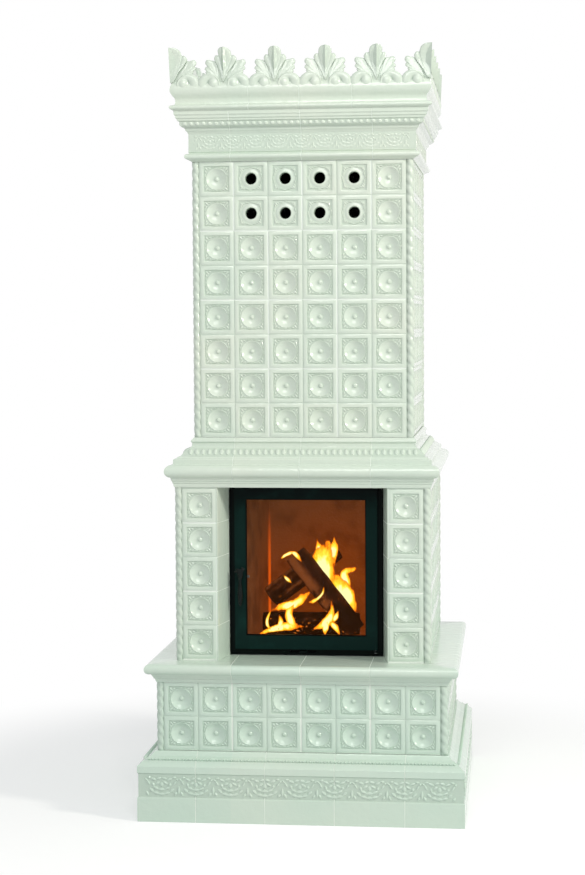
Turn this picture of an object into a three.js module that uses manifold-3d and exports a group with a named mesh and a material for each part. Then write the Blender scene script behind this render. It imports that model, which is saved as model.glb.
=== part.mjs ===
// A free-standing tiled stove: storeys of glazed bowl tiles round a steel fire insert.
// Millimetres, +Z up. The front faces -Y, the stove is square in plan, and the origin is
// on the floor under its middle.
import * as THREE from "three";
import { mergeVertices } from "three/addons/utils/BufferGeometryUtils.js";
import Module from "manifold-3d";

const wasm = await Module();
wasm.setup();

// ---------------------------------------------------------------- driving dimensions

const GAP = 0.3; // clearance between two pieces that touch
const FLATNESS = 0.002; // edges that bend a face by less are dropped

// Bowl tiles
const BOWL = 111.5; // pitch of one bowl square, joint included
const ROPE = 24; // diameter of the rope moulding at each corner
const TILE_SETBACK = 3; // tile face behind the front of the rope
const PANEL_HALF = 41; // sunk square round each dish, at the tile face
const PANEL_DEPTH = 4;
const PANEL_DRAFT = 2.5; // how much smaller the panel is at its floor, on each side
const DISH_RADIUS = 34.5; // at the panel's floor
const DISH_FLOOR_RADIUS = 17;
const DISH_DEPTH = 14; // from the tile face
const VENT_RADIUS = 18.5; // warm-air holes in the vent course

// Storeys, counted in bowls
const BENCH_BOWLS = 8;
const BENCH_ROWS = 2;
const SURROUND_BOWLS = 7;
const SURROUND_ROWS = 5;
const TOWER_BOWLS = 6;
const TOWER_ROWS = 6;
const VENT_ROWS = 2;
const VENT_EDGE_BOWLS = 1; // bowls without a hole at each end of the vent course

// Walls
const TILE_WALL = 45; // tile with its backing
const BASE_WALL = 110; // bench and plinth walls, which carry the storeys above

// Heights
const PLINTH_HEIGHT = 221;
const PLINTH_FACE_HEIGHT = 181; // upright face below the sloped bead row
const PLINTH_BAND_LOW = 77; // sunk relief band on the upright face
const PLINTH_BAND_HIGH = 158.5;
const PLINTH_BAND_DEPTH = 3.5;
const LEDGE_HEIGHT = 62;
const LEDGE_SLAB = 40; // slab thickness away from its nose
const SURROUND_MARGIN = 7.5; // bedding joints over and under the surround's five rows
const MANTEL_HEIGHT = 75;
const FOOT_HEIGHT = 84;
const CORNICE_HEIGHT = 159;
const GALLERY_BASE_HEIGHT = 64;
const GALLERY_HEIGHT = 196;

// Overhangs beyond the storey that each course belongs to
const PLINTH_OUT = 56;
const LEDGE_OUT = 35;
const LEDGE_NOSE_RADIUS = 17;
const MANTEL_OUT = 29.5;
const MANTEL_NOSE_RADIUS = 20;
const FOOT_OUT = 59.5;
const CORNICE_OUT = 49.6;
const GALLERY_OUT = 63;

// Leaf gallery
const PALMETTES = 5; // palmettes to a side, the two corner ones counted as halves
const GALLERY_PLATE = 14;
const GALLERY_PLATE_BACK = 38; // back of the plate, outside the tower's face
const COVER_THICKNESS = 30;

// Fire insert
const FRAME_HALF_WIDTH = 252;
const FRAME_BOTTOM_LIFT = 2; // above the ledge
const FRAME_TOP_OVER = 11; // above the underside of the mantel
const FRAME_FACE = -289; // front of the fixed frame
const FRAME_THICKNESS = 8;
const LEAF_INSET = 17; // edge of the leaf from the edge of the frame
const LEAF_LIFT = 22; // bottom of the leaf above the ledge
const LEAF_TOP_CLEAR = 11; // below the mantel
const LEAF_THICKNESS = 10;
const LEAF_STAND_OFF = 4; // back of the leaf to the face of the frame
const LEAF_STILE = 37;
const LEAF_BOTTOM_RAIL = 45;
const LEAF_TOP_RAIL = 36;
const LEAF_OVERLAP = 13; // how far the leaf laps over the frame's opening
const SEAT_WALL = 4.5; // rim round the glass at the back of the leaf
const SEAT_DEPTH = 11;
const GLASS_THICKNESS = 4;
const GLASS_LAP = 4; // glass behind the edge of the leaf's window
const PIN_RADIUS = 3;
const PIN_CLEARANCE = 0.3;
const PIN_LENGTH_IN_LEAF = 15;
const PIN_INSET = 6; // hinge axis from the edge of the leaf
const LUG_THICKNESS = 6;
const BODY_INSET = 2; // side of the firebox from the edge of the frame
const BODY_BACK = 150;
const BODY_SHEET = 5;
const BODY_DROP = 51; // underside of the firebox below the ledge's top
const BODY_TOP_OVER = 29; // top of the firebox above the underside of the mantel
const ASH_PIT = 40; // clear height under the hearth plate
const SHELF_WIDTH = 20;
const SHELF_THICKNESS = 10;
const HEARTH_THICKNESS = 34.4;
const LINING_THICKNESS = 30;
const LINING_SPLAY = 44; // how much nearer together the side linings stand at the back
const BAFFLE_THICKNESS = 25;
const BAFFLE_DEPTH = 265;
const SMOKE_HEIGHT = 49.7; // clear height over the baffle
const GRATE_SIZE = 190;
const GRATE_THICKNESS = 11.4;
const GRATE_LIP = 6;
const GRATE_SLOTS = 7;
const GRATE_SLOT_WIDTH = 12;
const GRATE_FROM_BACK = 100; // back edge of the grate to the back lining
const PAN_MARGIN = 12; // ash pan beyond the grate on each side
const PAN_HEIGHT = 30;
const PAN_WALL = 2;
const FLUE_Y = -40;
const FLUE_RADIUS = 91.5;
const FLUE_WALL = 3;
const FLUE_STUB_HEIGHT = 50;
const FLUE_STUB_WALL = 4;
const FLUE_RISE = 60; // above the top cover
const FLUE_RIM = 10; // socket rim at the top of the pipe
const FLUE_RIM_HEIGHT = 40;
const FLUE_HOLE_CLEARANCE = 6;
const PEDESTAL_HALF_WIDTH = 240;
const PEDESTAL_FRONT = -260;
const PEDESTAL_BACK = 140;
const JAMB_TIP = 4; // width of the jamb's front edge
const JAMB_BACK_WIDTH = 46;

// Handle and air control
const HANDLE_INSET = 20.5; // spindle from the edge of the leaf
const HANDLE_DROP = 295; // spindle below the top of the leaf
const HANDLE_REACH = 17; // lever in front of the leaf
const HANDLE_THICKNESS = 10;
const HANDLE_TOP = 37;
const HANDLE_TAIL = 93;
const SPINDLE_RADIUS = 4.5;
const NECK_RADIUS = 7;
const CAM_LENGTH = 24;
const CAM_WIDTH = 12.4;
const CAM_THICKNESS = 6;
const TAB_X = -11;
const TAB_WIDTH = 24;
const TAB_HEIGHT = 7;
const TAB_RISE = 10; // underside of the tab above the ledge
const TAB_REACH = 11; // tab in front of the frame
const AIR_TRAVEL = 30; // to each side
const SLIDE_PLATE_WIDTH = 150;
const SLIDE_PLATE_HEIGHT = 22;
const SLIDE_PLATE_THICKNESS = 3;

// Firewood
const LOG_CLEARANCE = 5.7; // end of a log to the linings at their nearest
const LOG_RADIUS = 40;

// ---------------------------------------------------------------- levels and widths

const BENCH_Z = PLINTH_HEIGHT;
const LEDGE_Z = BENCH_Z + BENCH_ROWS * BOWL;
const SURROUND_Z = LEDGE_Z + LEDGE_HEIGHT;
const MANTEL_Z = SURROUND_Z + SURROUND_ROWS * BOWL + SURROUND_MARGIN;
const FOOT_Z = MANTEL_Z + MANTEL_HEIGHT;
const TOWER_Z = FOOT_Z + FOOT_HEIGHT;
const VENT_Z = TOWER_Z + TOWER_ROWS * BOWL;
const CORNICE_Z = VENT_Z + VENT_ROWS * BOWL;
const GALLERY_Z = CORNICE_Z + CORNICE_HEIGHT;

const halfOf = (bowls) => (bowls * BOWL) / 2 + ROPE;
const BENCH_HALF = halfOf(BENCH_BOWLS);
const SURROUND_HALF = halfOf(SURROUND_BOWLS);
const TOWER_HALF = halfOf(TOWER_BOWLS);
const TOWER_INSIDE = TOWER_HALF - TILE_WALL;
const PILLAR_EDGE = SURROUND_HALF - ROPE - BOWL; // the pillars are one bowl wide
const VENT_COLUMNS = TOWER_BOWLS / 2 - VENT_EDGE_BOWLS; // to each side of the middle
const VENT_HALF = VENT_COLUMNS * BOWL;

const FRAME_BOTTOM = SURROUND_Z + FRAME_BOTTOM_LIFT;
const FRAME_TOP = MANTEL_Z + FRAME_TOP_OVER;
const FRAME_BACK = FRAME_FACE + FRAME_THICKNESS;
const LEAF_HALF_WIDTH = FRAME_HALF_WIDTH - LEAF_INSET;
const FRAME_OPENING_HALF = LEAF_HALF_WIDTH - LEAF_OVERLAP;
const LEAF_BACK = FRAME_FACE - LEAF_STAND_OFF;
const LEAF_FACE = LEAF_BACK - LEAF_THICKNESS;
const LEAF_BOTTOM = SURROUND_Z + LEAF_LIFT;
const LEAF_TOP = MANTEL_Z - LEAF_TOP_CLEAR;
const HINGE_X = LEAF_HALF_WIDTH - PIN_INSET;
const HINGE_Y = LEAF_FACE + LEAF_THICKNESS / 2;
const WINDOW = {
  half: LEAF_HALF_WIDTH - LEAF_STILE,
  bottom: LEAF_BOTTOM + LEAF_BOTTOM_RAIL,
  top: LEAF_TOP - LEAF_TOP_RAIL,
};
const SHELL_INSIDE = -FRAME_BACK + GAP; // inner half-width of the ledge, just past the frame
const MANTEL_INSIDE = -FRAME_FACE + FRAME_TOP_OVER;
const BODY_HALF_WIDTH = FRAME_HALF_WIDTH - BODY_INSET;
const BODY_FRONT = FRAME_BACK + GAP;
const BODY_BOTTOM = SURROUND_Z - BODY_DROP;
const BODY_TOP = MANTEL_Z + BODY_TOP_OVER;
const HEARTH_Z = BODY_BOTTOM + BODY_SHEET + ASH_PIT + GAP;
const HEARTH_TOP = HEARTH_Z + HEARTH_THICKNESS;
const HEARTH_FRONT = BODY_FRONT + BODY_SHEET + SLIDE_PLATE_THICKNESS + 4;
const LINING_Z = HEARTH_TOP + GAP;
const BAFFLE_Z = BODY_TOP - BODY_SHEET - SMOKE_HEIGHT - BAFFLE_THICKNESS;
const LINING_HEIGHT = BAFFLE_Z - GAP - LINING_Z;
const LINING_OUTSIDE = BODY_HALF_WIDTH - BODY_SHEET - GAP;
const LINING_BACK = BODY_BACK - BODY_SHEET - GAP - LINING_THICKNESS - GAP;
const LINING_NARROWEST = LINING_OUTSIDE - LINING_THICKNESS - LINING_SPLAY;
const GRATE_Y = LINING_BACK - GRATE_FROM_BACK - GRATE_SIZE / 2;
const LOG_LENGTH = 2 * (LINING_NARROWEST - LOG_CLEARANCE);
const HANDLE_X = HANDLE_INSET - LEAF_HALF_WIDTH;
const HANDLE_Z = LEAF_TOP - HANDLE_DROP;
const COVER_Z = GALLERY_Z;
const FLUE_TOP = COVER_Z + COVER_THICKNESS + FLUE_RISE;

// ---------------------------------------------------------------- finishes

const finish = (color, roughness, metalness = 0) =>
  new THREE.MeshStandardMaterial({ color, roughness, metalness });
const GLAZE = finish(0xe2ebe1, 0.12);
const BLACK_STEEL = finish(0x141a19, 0.45, 0.6);
const RAW_STEEL = finish(0x6d7072, 0.5, 0.9);
const CAST_IRON = finish(0x2b2b2c, 0.75, 0.7);
const FIRECLAY = finish(0xb39a78, 0.95);
const AERATED_BLOCK = finish(0xdedbd2, 0.95);
const DOOR_GLASS = finish(0x4a2c1c, 0.05);
const SPLIT_WOOD = finish(0x5a3a24, 0.9);

// ---------------------------------------------------------------- geometry helpers

// A closed geometry as a manifold solid.
function solid(geometry) {
  const bare = geometry.index ? geometry.toNonIndexed() : geometry.clone();
  const merged = mergeVertices(
    new THREE.BufferGeometry().setAttribute("position", bare.getAttribute("position")),
    1e-4,
  );
  return new wasm.Manifold(
    new wasm.Mesh({
      numProp: 3,
      vertProperties: merged.attributes.position.array,
      triVerts: new Uint32Array(merged.index.array),
    }),
  );
}

// A manifold solid as a geometry, with no edges left inside its flat faces.
function geometryOf(made) {
  const mesh = made.asOriginal().simplify(FLATNESS).getMesh();
  return new THREE.BufferGeometry()
    .setAttribute("position", new THREE.BufferAttribute(mesh.vertProperties.slice(), 3))
    .setIndex(new THREE.BufferAttribute(mesh.triVerts.slice(), 1));
}

// The first geometry with the others cut out of it.
function cut(from, tools) {
  const made = tools.reduce((rest, tool) => rest.subtract(solid(tool)), solid(from));
  return geometryOf(made);
}

// Several geometries as one body.
function joined(pieces) {
  const [first, ...rest] = pieces.map(solid);
  return geometryOf(rest.reduce((sum, piece) => sum.add(piece), first));
}

// A block between two corners.
function block([x0, y0, z0], [x1, y1, z1]) {
  const box = new THREE.BoxGeometry(x1 - x0, y1 - y0, z1 - z0);
  return box.translate((x0 + x1) / 2, (y0 + y1) / 2, (z0 + z1) / 2);
}

// An outline in plan, drawn up from z0 to z1.
function prism(points, z0, z1) {
  const shape = new THREE.Shape(points.map(([x, y]) => new THREE.Vector2(x, y)));
  const body = new THREE.ExtrudeGeometry(shape, { depth: z1 - z0, bevelEnabled: false });
  return body.translate(0, 0, z0);
}

// An outline in front view (x, z), with its front at y0 and its back at y1.
function plate(points, y0, y1) {
  const shape = new THREE.Shape(points.map(([x, z]) => new THREE.Vector2(x, z)));
  const body = new THREE.ExtrudeGeometry(shape, { depth: y1 - y0, bevelEnabled: false });
  return body.rotateX(Math.PI / 2).translate(0, y1, 0);
}

// A rectangular ring seen from the front: outer and inner are [half width, bottom, top].
function ring(outer, inner, y0, y1) {
  const [half, bottom, top] = outer;
  const [innerHalf, innerBottom, innerTop] = inner;
  return cut(block([-half, y0, bottom], [half, y1, top]), [
    block([-innerHalf, y0 - 1, innerBottom], [innerHalf, y1 + 1, innerTop]),
  ]);
}

// An upright round bar; a cylinder along Z.
function bar(radius, z0, z1, x, y, sides = 16) {
  const rod = new THREE.CylinderGeometry(radius, radius, z1 - z0, sides);
  return rod.rotateX(Math.PI / 2).translate(x, y, (z0 + z1) / 2);
}

// A round bar along Y.
function crossBar(radius, y0, y1, x, z, sides = 16) {
  const rod = new THREE.CylinderGeometry(radius, radius, y1 - y0, sides);
  return rod.translate(x, (y0 + y1) / 2, z);
}

// Points of an arc round a centre, from one angle to another in degrees.
function arc(x, y, radius, from, to, steps) {
  return Array.from({ length: steps + 1 }, (_, i) => {
    const angle = THREE.MathUtils.degToRad(from + ((to - from) * i) / steps);
    return [x + radius * Math.cos(angle), y + radius * Math.sin(angle)];
  });
}

// The front side of a square course. The profile gives distance from the axis and height,
// anticlockwise; each end is mitred at 45 degrees, so four of them close the square.
function courseSide(profile) {
  const count = profile.length;
  const outline = profile.map(([out, up]) => new THREE.Vector2(out, up));
  const position = [-1, 1].flatMap((end) =>
    outline.flatMap(({ x: out, y: up }) => [end * (out - GAP / 2), -out, up]),
  );
  const caps = THREE.ShapeUtils.triangulateShape(outline, []);
  const index = [];
  for (const [a, b, c] of caps) {
    index.push(a, b, c);
    index.push(a + count, c + count, b + count);
  }
  for (let i = 0; i < count; i++) {
    const next = (i + 1) % count;
    index.push(next, i, i + count);
    index.push(next, i + count, next + count);
  }
  return new THREE.BufferGeometry()
    .setAttribute("position", new THREE.BufferAttribute(new Float32Array(position), 3))
    .setIndex(index);
}

// ---------------------------------------------------------------- tiled walls

// Plan of a front wall: mitred with a half-round rope at a corner, or cut off square at an
// edge. An end is { mitre: true } or { edge: x }.
function wallPlan(half, wall, left, right) {
  const axis = half - ROPE / 2;
  const face = half - TILE_SETBACK;
  const meet = THREE.MathUtils.radToDeg(Math.asin((face - axis) / (ROPE / 2)));
  const inner = half - wall;
  const corner = (side) => {
    const rope = arc(axis, -axis, ROPE / 2, -45, -180 + meet, 5);
    rope[0][0] -= GAP / 2;
    const run = [[inner - GAP / 2, -inner], ...rope];
    return run.map(([x, y]) => [side * x, y]);
  };
  const square = (x) => [
    [x, -inner],
    [x, -face],
  ];
  const rightEnd = right.mitre ? corner(1) : square(right.edge);
  const leftEnd = left.mitre ? corner(-1) : square(left.edge);
  return [...leftEnd, ...rightEnd.reverse()];
}

// A tapered hollow along Y: radius is at Y = y0, narrowed by the draft for each mm further
// in, and the hollow ends at y1.
function taperedHollow(radius, draft, y0, y1, sides) {
  const depth = y1 - y0;
  const body = new THREE.CylinderGeometry(radius - draft * depth, radius, depth, sides);
  return body.rotateY(Math.PI / sides).translate(0, y0 + depth / 2, 0);
}

// What one bowl takes out of a tile whose face is at Y = 0: a sunk square panel with an
// eight-sided dish in it.
function bowlHollow() {
  const corner = Math.SQRT2;
  const panelDraft = PANEL_DRAFT / PANEL_DEPTH;
  const dishDraft = (DISH_RADIUS - DISH_FLOOR_RADIUS) / (DISH_DEPTH - PANEL_DEPTH);
  const rim = PANEL_HALF + panelDraft;
  const panel = taperedHollow(rim * corner, panelDraft * corner, -1, PANEL_DEPTH, 4);
  const lip = DISH_RADIUS + dishDraft;
  return joined([panel, taperedHollow(lip, dishDraft, PANEL_DEPTH - 1, DISH_DEPTH, 8)]);
}

// Centres of a field of bowls: columns across from x0, rows up from z0.
function bowlCentres(columns, rows, x0, z0) {
  return Array.from({ length: columns * rows }, (_, i) => ({
    x: x0 + ((i % columns) + 0.5) * BOWL,
    z: z0 + (Math.floor(i / columns) + 0.5) * BOWL,
  }));
}

// A tiled wall with its dishes.
function tiledWall({ half, wall, bowls, rows, z0, z1, margin = 0, ends, x0 }) {
  const [left, right] = ends ?? [{ mitre: true }, { mitre: true }];
  const plan = wallPlan(half, wall, left, right);
  const start = x0 ?? -(bowls * BOWL) / 2;
  const centres = bowlCentres(bowls, rows, start, z0 + margin);
  const hollow = bowlHollow();
  const face = TILE_SETBACK - half;
  const tools = centres.map(({ x, z }) => hollow.clone().translate(x, face, z));
  return cut(prism(plan, z0, z1 - GAP), tools);
}

// ---------------------------------------------------------------- course profiles

function plinthProfile() {
  const inner = BENCH_HALF - BASE_WALL;
  const outer = BENCH_HALF + PLINTH_OUT;
  const top = PLINTH_HEIGHT - GAP;
  return [
    [inner, 0],
    [outer, 0],
    [outer, PLINTH_BAND_LOW],
    [outer - PLINTH_BAND_DEPTH, PLINTH_BAND_LOW + PLINTH_BAND_DEPTH],
    [outer - PLINTH_BAND_DEPTH, PLINTH_BAND_HIGH - PLINTH_BAND_DEPTH],
    [outer, PLINTH_BAND_HIGH],
    [outer, PLINTH_FACE_HEIGHT],
    [BENCH_HALF + 8, PLINTH_HEIGHT - 7],
    [BENCH_HALF + 5, top],
    [inner, top],
  ];
}

function ledgeProfile() {
  const top = LEDGE_Z + LEDGE_HEIGHT - GAP;
  const rest = BENCH_HALF - BASE_WALL;
  const noseOut = BENCH_HALF + LEDGE_OUT - LEDGE_NOSE_RADIUS;
  const noseUp = top - LEDGE_NOSE_RADIUS;
  return [
    [SHELL_INSIDE, top - LEDGE_SLAB],
    [rest, top - LEDGE_SLAB],
    [rest, LEDGE_Z],
    [BENCH_HALF, LEDGE_Z],
    [BENCH_HALF + 3, LEDGE_Z + 5],
    [BENCH_HALF + 7, LEDGE_Z + 18],
    ...arc(noseOut, noseUp, LEDGE_NOSE_RADIUS, -90, 90, 6),
    [SHELL_INSIDE, top],
  ];
}

// The mantel run with the tower's foot run on it.
function mantelProfile() {
  const noseOut = SURROUND_HALF + MANTEL_OUT - MANTEL_NOSE_RADIUS;
  const noseUp = MANTEL_Z + MANTEL_HEIGHT - 2 - MANTEL_NOSE_RADIUS;
  const foot = [
    [FOOT_OUT, 0],
    [FOOT_OUT, 16],
    [FOOT_OUT - 12, 24],
    [26, 33],
    [24, 42],
    [8.5, 52],
    [5.5, 62],
    [9, 70],
    [8, 78],
    [0, FOOT_HEIGHT - GAP],
  ].map(([out, up]) => [TOWER_HALF + out, FOOT_Z + up]);
  return [
    [MANTEL_INSIDE, MANTEL_Z],
    [SURROUND_HALF, MANTEL_Z],
    [SURROUND_HALF + 3, MANTEL_Z + 12],
    [SURROUND_HALF + 6.5, MANTEL_Z + 20],
    ...arc(noseOut, noseUp, MANTEL_NOSE_RADIUS, -90, 90, 6),
    ...foot,
    [TOWER_INSIDE, TOWER_Z - GAP],
    [TOWER_INSIDE, FOOT_Z],
    [MANTEL_INSIDE, FOOT_Z],
  ];
}

function corniceProfile() {
  const steps = [
    [0, 0],
    [16, 10],
    [19.5, 15],
    [17, 20],
    [7, 27],
    [10.5, 31],
    [9.5, 63],
    [5.5, 87],
    [15, 105],
    [30, 113],
    [40, 128],
    [46, 137],
    [CORNICE_OUT, CORNICE_HEIGHT - GAP],
  ].map(([out, up]) => [TOWER_HALF + out, CORNICE_Z + up]);
  return [[TOWER_INSIDE, CORNICE_Z], ...steps, [TOWER_INSIDE, GALLERY_Z - GAP]];
}

function galleryBaseProfile() {
  const inside = GALLERY_PLATE_BACK - GALLERY_PLATE;
  const steps = [
    [CORNICE_OUT, 0],
    [GALLERY_OUT - 2, 4],
    [GALLERY_OUT, 10],
    [GALLERY_OUT - 4, 18],
    [46, 24],
    [45, 42],
    [54, GALLERY_BASE_HEIGHT],
  ];
  const profile = [[inside, GALLERY_BASE_HEIGHT], [inside, 0], ...steps];
  return profile.map(([out, up]) => [TOWER_HALF + out, GALLERY_Z + up]);
}

// Half of one palmette, from the valley between two volutes to the tip: share of the pitch
// from the palmette's middle line, and height above the gallery's foot.
const HALF_PALMETTE = [
  [0.5, 96],
  [0.42, 107],
  [0.34, 115],
  [0.39, 126],
  [0.42, 148],
  [0.35, 160],
  [0.22, 157],
  [0.16, 151],
  [0.18, 167],
  [0.12, 176],
  [0.08, 189],
];

// The cut-out upper edge of the gallery, left to right.
function galleryEdge() {
  const reach = TOWER_HALF + GALLERY_PLATE_BACK + GALLERY_PLATE / 2;
  const pitch = (2 * reach) / PALMETTES;
  const corner = [reach + GALLERY_PLATE, GALLERY_HEIGHT - 8];
  const edge = [[-corner[0], corner[1]]];
  for (let i = 0; i <= PALMETTES; i++) {
    const middle = -reach + i * pitch;
    const half = HALF_PALMETTE.map(([share, up]) => [share * pitch, up]);
    if (i > 0) edge.push(...half.map(([out, up]) => [middle - out, up]));
    edge.push([middle, GALLERY_HEIGHT]);
    const away = half.slice(1).reverse();
    if (i < PALMETTES) edge.push(...away.map(([out, up]) => [middle + out, up]));
  }
  edge.push(corner);
  return edge.map(([x, up]) => [x, GALLERY_Z + up]);
}

// One side of the gallery: its moulded foot and the leaf plate above it, mitred.
function gallerySide() {
  const front = TOWER_HALF + GALLERY_PLATE_BACK + GALLERY_PLATE;
  const back = TOWER_HALF + GALLERY_PLATE_BACK;
  const low = GALLERY_Z + GALLERY_BASE_HEIGHT - 6;
  const edge = galleryEdge();
  const reach = edge.at(-1)[0];
  const leaves = plate([[-reach, low], [reach, low], ...edge.reverse()], -front, -back);
  const wedge = prism(
    [
      [0, -GAP / 2],
      [-front * 2, -front * 2 - GAP / 2],
      [front * 2, -front * 2 - GAP / 2],
    ],
    low - 1,
    GALLERY_Z + GALLERY_HEIGHT + 1,
  );
  const mitred = solid(leaves).intersect(solid(wedge));
  return geometryOf(solid(courseSide(galleryBaseProfile())).add(mitred));
}

// ---------------------------------------------------------------- scene graph

const stove = new THREE.Group();

// A named piece of the stove.
function piece(name, geometry, material, turn = 0) {
  const mesh = new THREE.Mesh(geometry, material);
  mesh.name = name;
  mesh.rotation.z = turn;
  stove.add(mesh);
  return mesh;
}

const SIDES = { front: 0, right: Math.PI / 2, back: Math.PI, left: -Math.PI / 2 };

// A course on all four sides, or on the sides named.
function course(name, geometry, sides = Object.keys(SIDES)) {
  for (const side of sides) piece(name + "_" + side, geometry, GLAZE, SIDES[side]);
}

function addBase() {
  course("plinth", courseSide(plinthProfile()));
  course(
    "bench",
    tiledWall({
      half: BENCH_HALF,
      wall: BASE_WALL,
      bowls: BENCH_BOWLS,
      rows: BENCH_ROWS,
      z0: BENCH_Z,
      z1: LEDGE_Z,
    }),
  );
  course("ledge", courseSide(ledgeProfile()));
}

// The jamb runs back from the pillar's inner edge to the door frame.
function jambPlan() {
  const pillarFace = -(SURROUND_HALF - TILE_SETBACK);
  const pillarBack = -(SURROUND_HALF - TILE_WALL) + GAP;
  const edge = PILLAR_EDGE - GAP;
  const frameEdge = FRAME_HALF_WIDTH + 2;
  const back = FRAME_FACE - 2;
  return [
    [edge, pillarFace],
    [edge, pillarBack],
    [frameEdge + JAMB_BACK_WIDTH, pillarBack],
    [frameEdge + JAMB_BACK_WIDTH, back],
    [frameEdge, back],
    [edge - JAMB_TIP, pillarFace],
  ];
}

function addSurround() {
  const wall = {
    half: SURROUND_HALF,
    wall: TILE_WALL,
    rows: SURROUND_ROWS,
    z0: SURROUND_Z,
    z1: MANTEL_Z,
    margin: SURROUND_MARGIN / 2,
  };
  course("surround", tiledWall({ ...wall, bowls: SURROUND_BOWLS }), [
    "right",
    "back",
    "left",
  ]);
  const pillars = {
    left: [{ mitre: true }, { edge: -PILLAR_EDGE }],
    right: [{ edge: PILLAR_EDGE }, { mitre: true }],
  };
  for (const [side, ends] of Object.entries(pillars)) {
    const x0 = side === "left" ? -PILLAR_EDGE - BOWL : PILLAR_EDGE;
    piece("pillar_" + side, tiledWall({ ...wall, bowls: 1, ends, x0 }), GLAZE);
  }
  const right = jambPlan();
  const left = right.map(([x, y]) => [-x, y]);
  piece("jamb_right", prism(right, SURROUND_Z, MANTEL_Z - GAP), GLAZE);
  piece("jamb_left", prism(left, SURROUND_Z, MANTEL_Z - GAP), GLAZE);
}

// A vent tile: two by two flat bowls, each with a warm-air hole through it.
function ventTile(side) {
  const front = -(TOWER_HALF - TILE_SETBACK);
  const back = -(TOWER_HALF - TILE_WALL);
  const [near, far] = [GAP / 2, VENT_HALF - GAP];
  const x = side < 0 ? [-far, -near] : [near, far];
  const slab = block([x[0], front, VENT_Z], [x[1], back, CORNICE_Z - GAP]);
  const first = side < 0 ? -VENT_HALF : 0;
  const centres = bowlCentres(VENT_COLUMNS, VENT_ROWS, first, VENT_Z);
  const holes = centres.map((at) => {
    const hole = crossBar(VENT_RADIUS, front - 1, back + 1, 0, 0, 8).rotateY(Math.PI / 8);
    return hole.translate(at.x, 0, at.z);
  });
  return cut(slab, holes);
}

function addTower() {
  course("mantel", courseSide(mantelProfile()));
  const wall = tiledWall({
    half: TOWER_HALF,
    wall: TILE_WALL,
    bowls: TOWER_BOWLS,
    rows: TOWER_ROWS + VENT_ROWS,
    z0: TOWER_Z,
    z1: CORNICE_Z,
  });
  const ventRoom = block(
    [-VENT_HALF, -TOWER_HALF - 1, VENT_Z - GAP],
    [VENT_HALF, -TOWER_INSIDE + 1, CORNICE_Z + 1],
  );
  piece("tower_front", cut(wall, [ventRoom]), GLAZE);
  piece("vent_tile_left", ventTile(-1), GLAZE);
  piece("vent_tile_right", ventTile(1), GLAZE);
  course("tower", wall, ["right", "back", "left"]);
  course("cornice", courseSide(corniceProfile()));
  course("gallery", gallerySide());
  const coverHalf = TOWER_HALF + GALLERY_PLATE_BACK - GALLERY_PLATE - GAP;
  const cover = block(
    [-coverHalf, -coverHalf, COVER_Z],
    [coverHalf, coverHalf, COVER_Z + COVER_THICKNESS],
  );
  const hole = bar(
    FLUE_RADIUS + FLUE_HOLE_CLEARANCE,
    COVER_Z - 1,
    COVER_Z + COVER_THICKNESS + 1,
    0,
    FLUE_Y,
    24,
  );
  piece("top_cover", cut(cover, [hole]), AERATED_BLOCK);
}

// The welded firebox: five walls, an apron under the door, two shelves and the flue stub.
function fireboxBody() {
  const half = BODY_HALF_WIDTH;
  const inner = half - BODY_SHEET;
  const floor = BODY_BOTTOM + BODY_SHEET;
  const apronTop = SURROUND_Z + LEAF_LIFT + LEAF_OVERLAP;
  const shell = block([-half, BODY_FRONT, BODY_BOTTOM], [half, BODY_BACK, BODY_TOP]);
  const room = block(
    [-inner, BODY_FRONT + BODY_SHEET, floor],
    [inner, BODY_BACK - BODY_SHEET, BODY_TOP - BODY_SHEET],
  );
  const mouth = block([-inner, BODY_FRONT - 1, apronTop], [
    inner,
    BODY_FRONT + BODY_SHEET + 1,
    BODY_TOP - BODY_SHEET,
  ]);
  const stubOuter = FLUE_RADIUS - FLUE_WALL - GAP;
  const stubTop = BODY_TOP + FLUE_STUB_HEIGHT;
  const stub = bar(stubOuter, BODY_TOP - 1, stubTop, 0, FLUE_Y, 24);
  const bore = bar(
    stubOuter - FLUE_STUB_WALL,
    BODY_TOP - BODY_SHEET - 1,
    stubTop + 1,
    0,
    FLUE_Y,
    24,
  );
  const shelfTop = HEARTH_Z - GAP;
  const shelves = [-1, 1].map((side) =>
    block(
      [side < 0 ? -inner - 1 : inner - SHELF_WIDTH, HEARTH_FRONT, shelfTop - SHELF_THICKNESS],
      [side < 0 ? -inner + SHELF_WIDTH : inner + 1, BODY_BACK - BODY_SHEET + 1, shelfTop],
    ),
  );
  const walls = cut(shell, [room, mouth]);
  return cut(joined([walls, stub, ...shelves]), [bore, airSlot()]);
}

// The slot that the air control's tab slides in, through the frame and the apron.
function airSlot() {
  const half = TAB_WIDTH / 2 + AIR_TRAVEL + 2;
  const bottom = SURROUND_Z + TAB_RISE - 1;
  return block(
    [TAB_X - half, FRAME_FACE - 1, bottom],
    [TAB_X + half, BODY_FRONT + BODY_SHEET + 1, bottom + TAB_HEIGHT + 2],
  );
}

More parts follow.
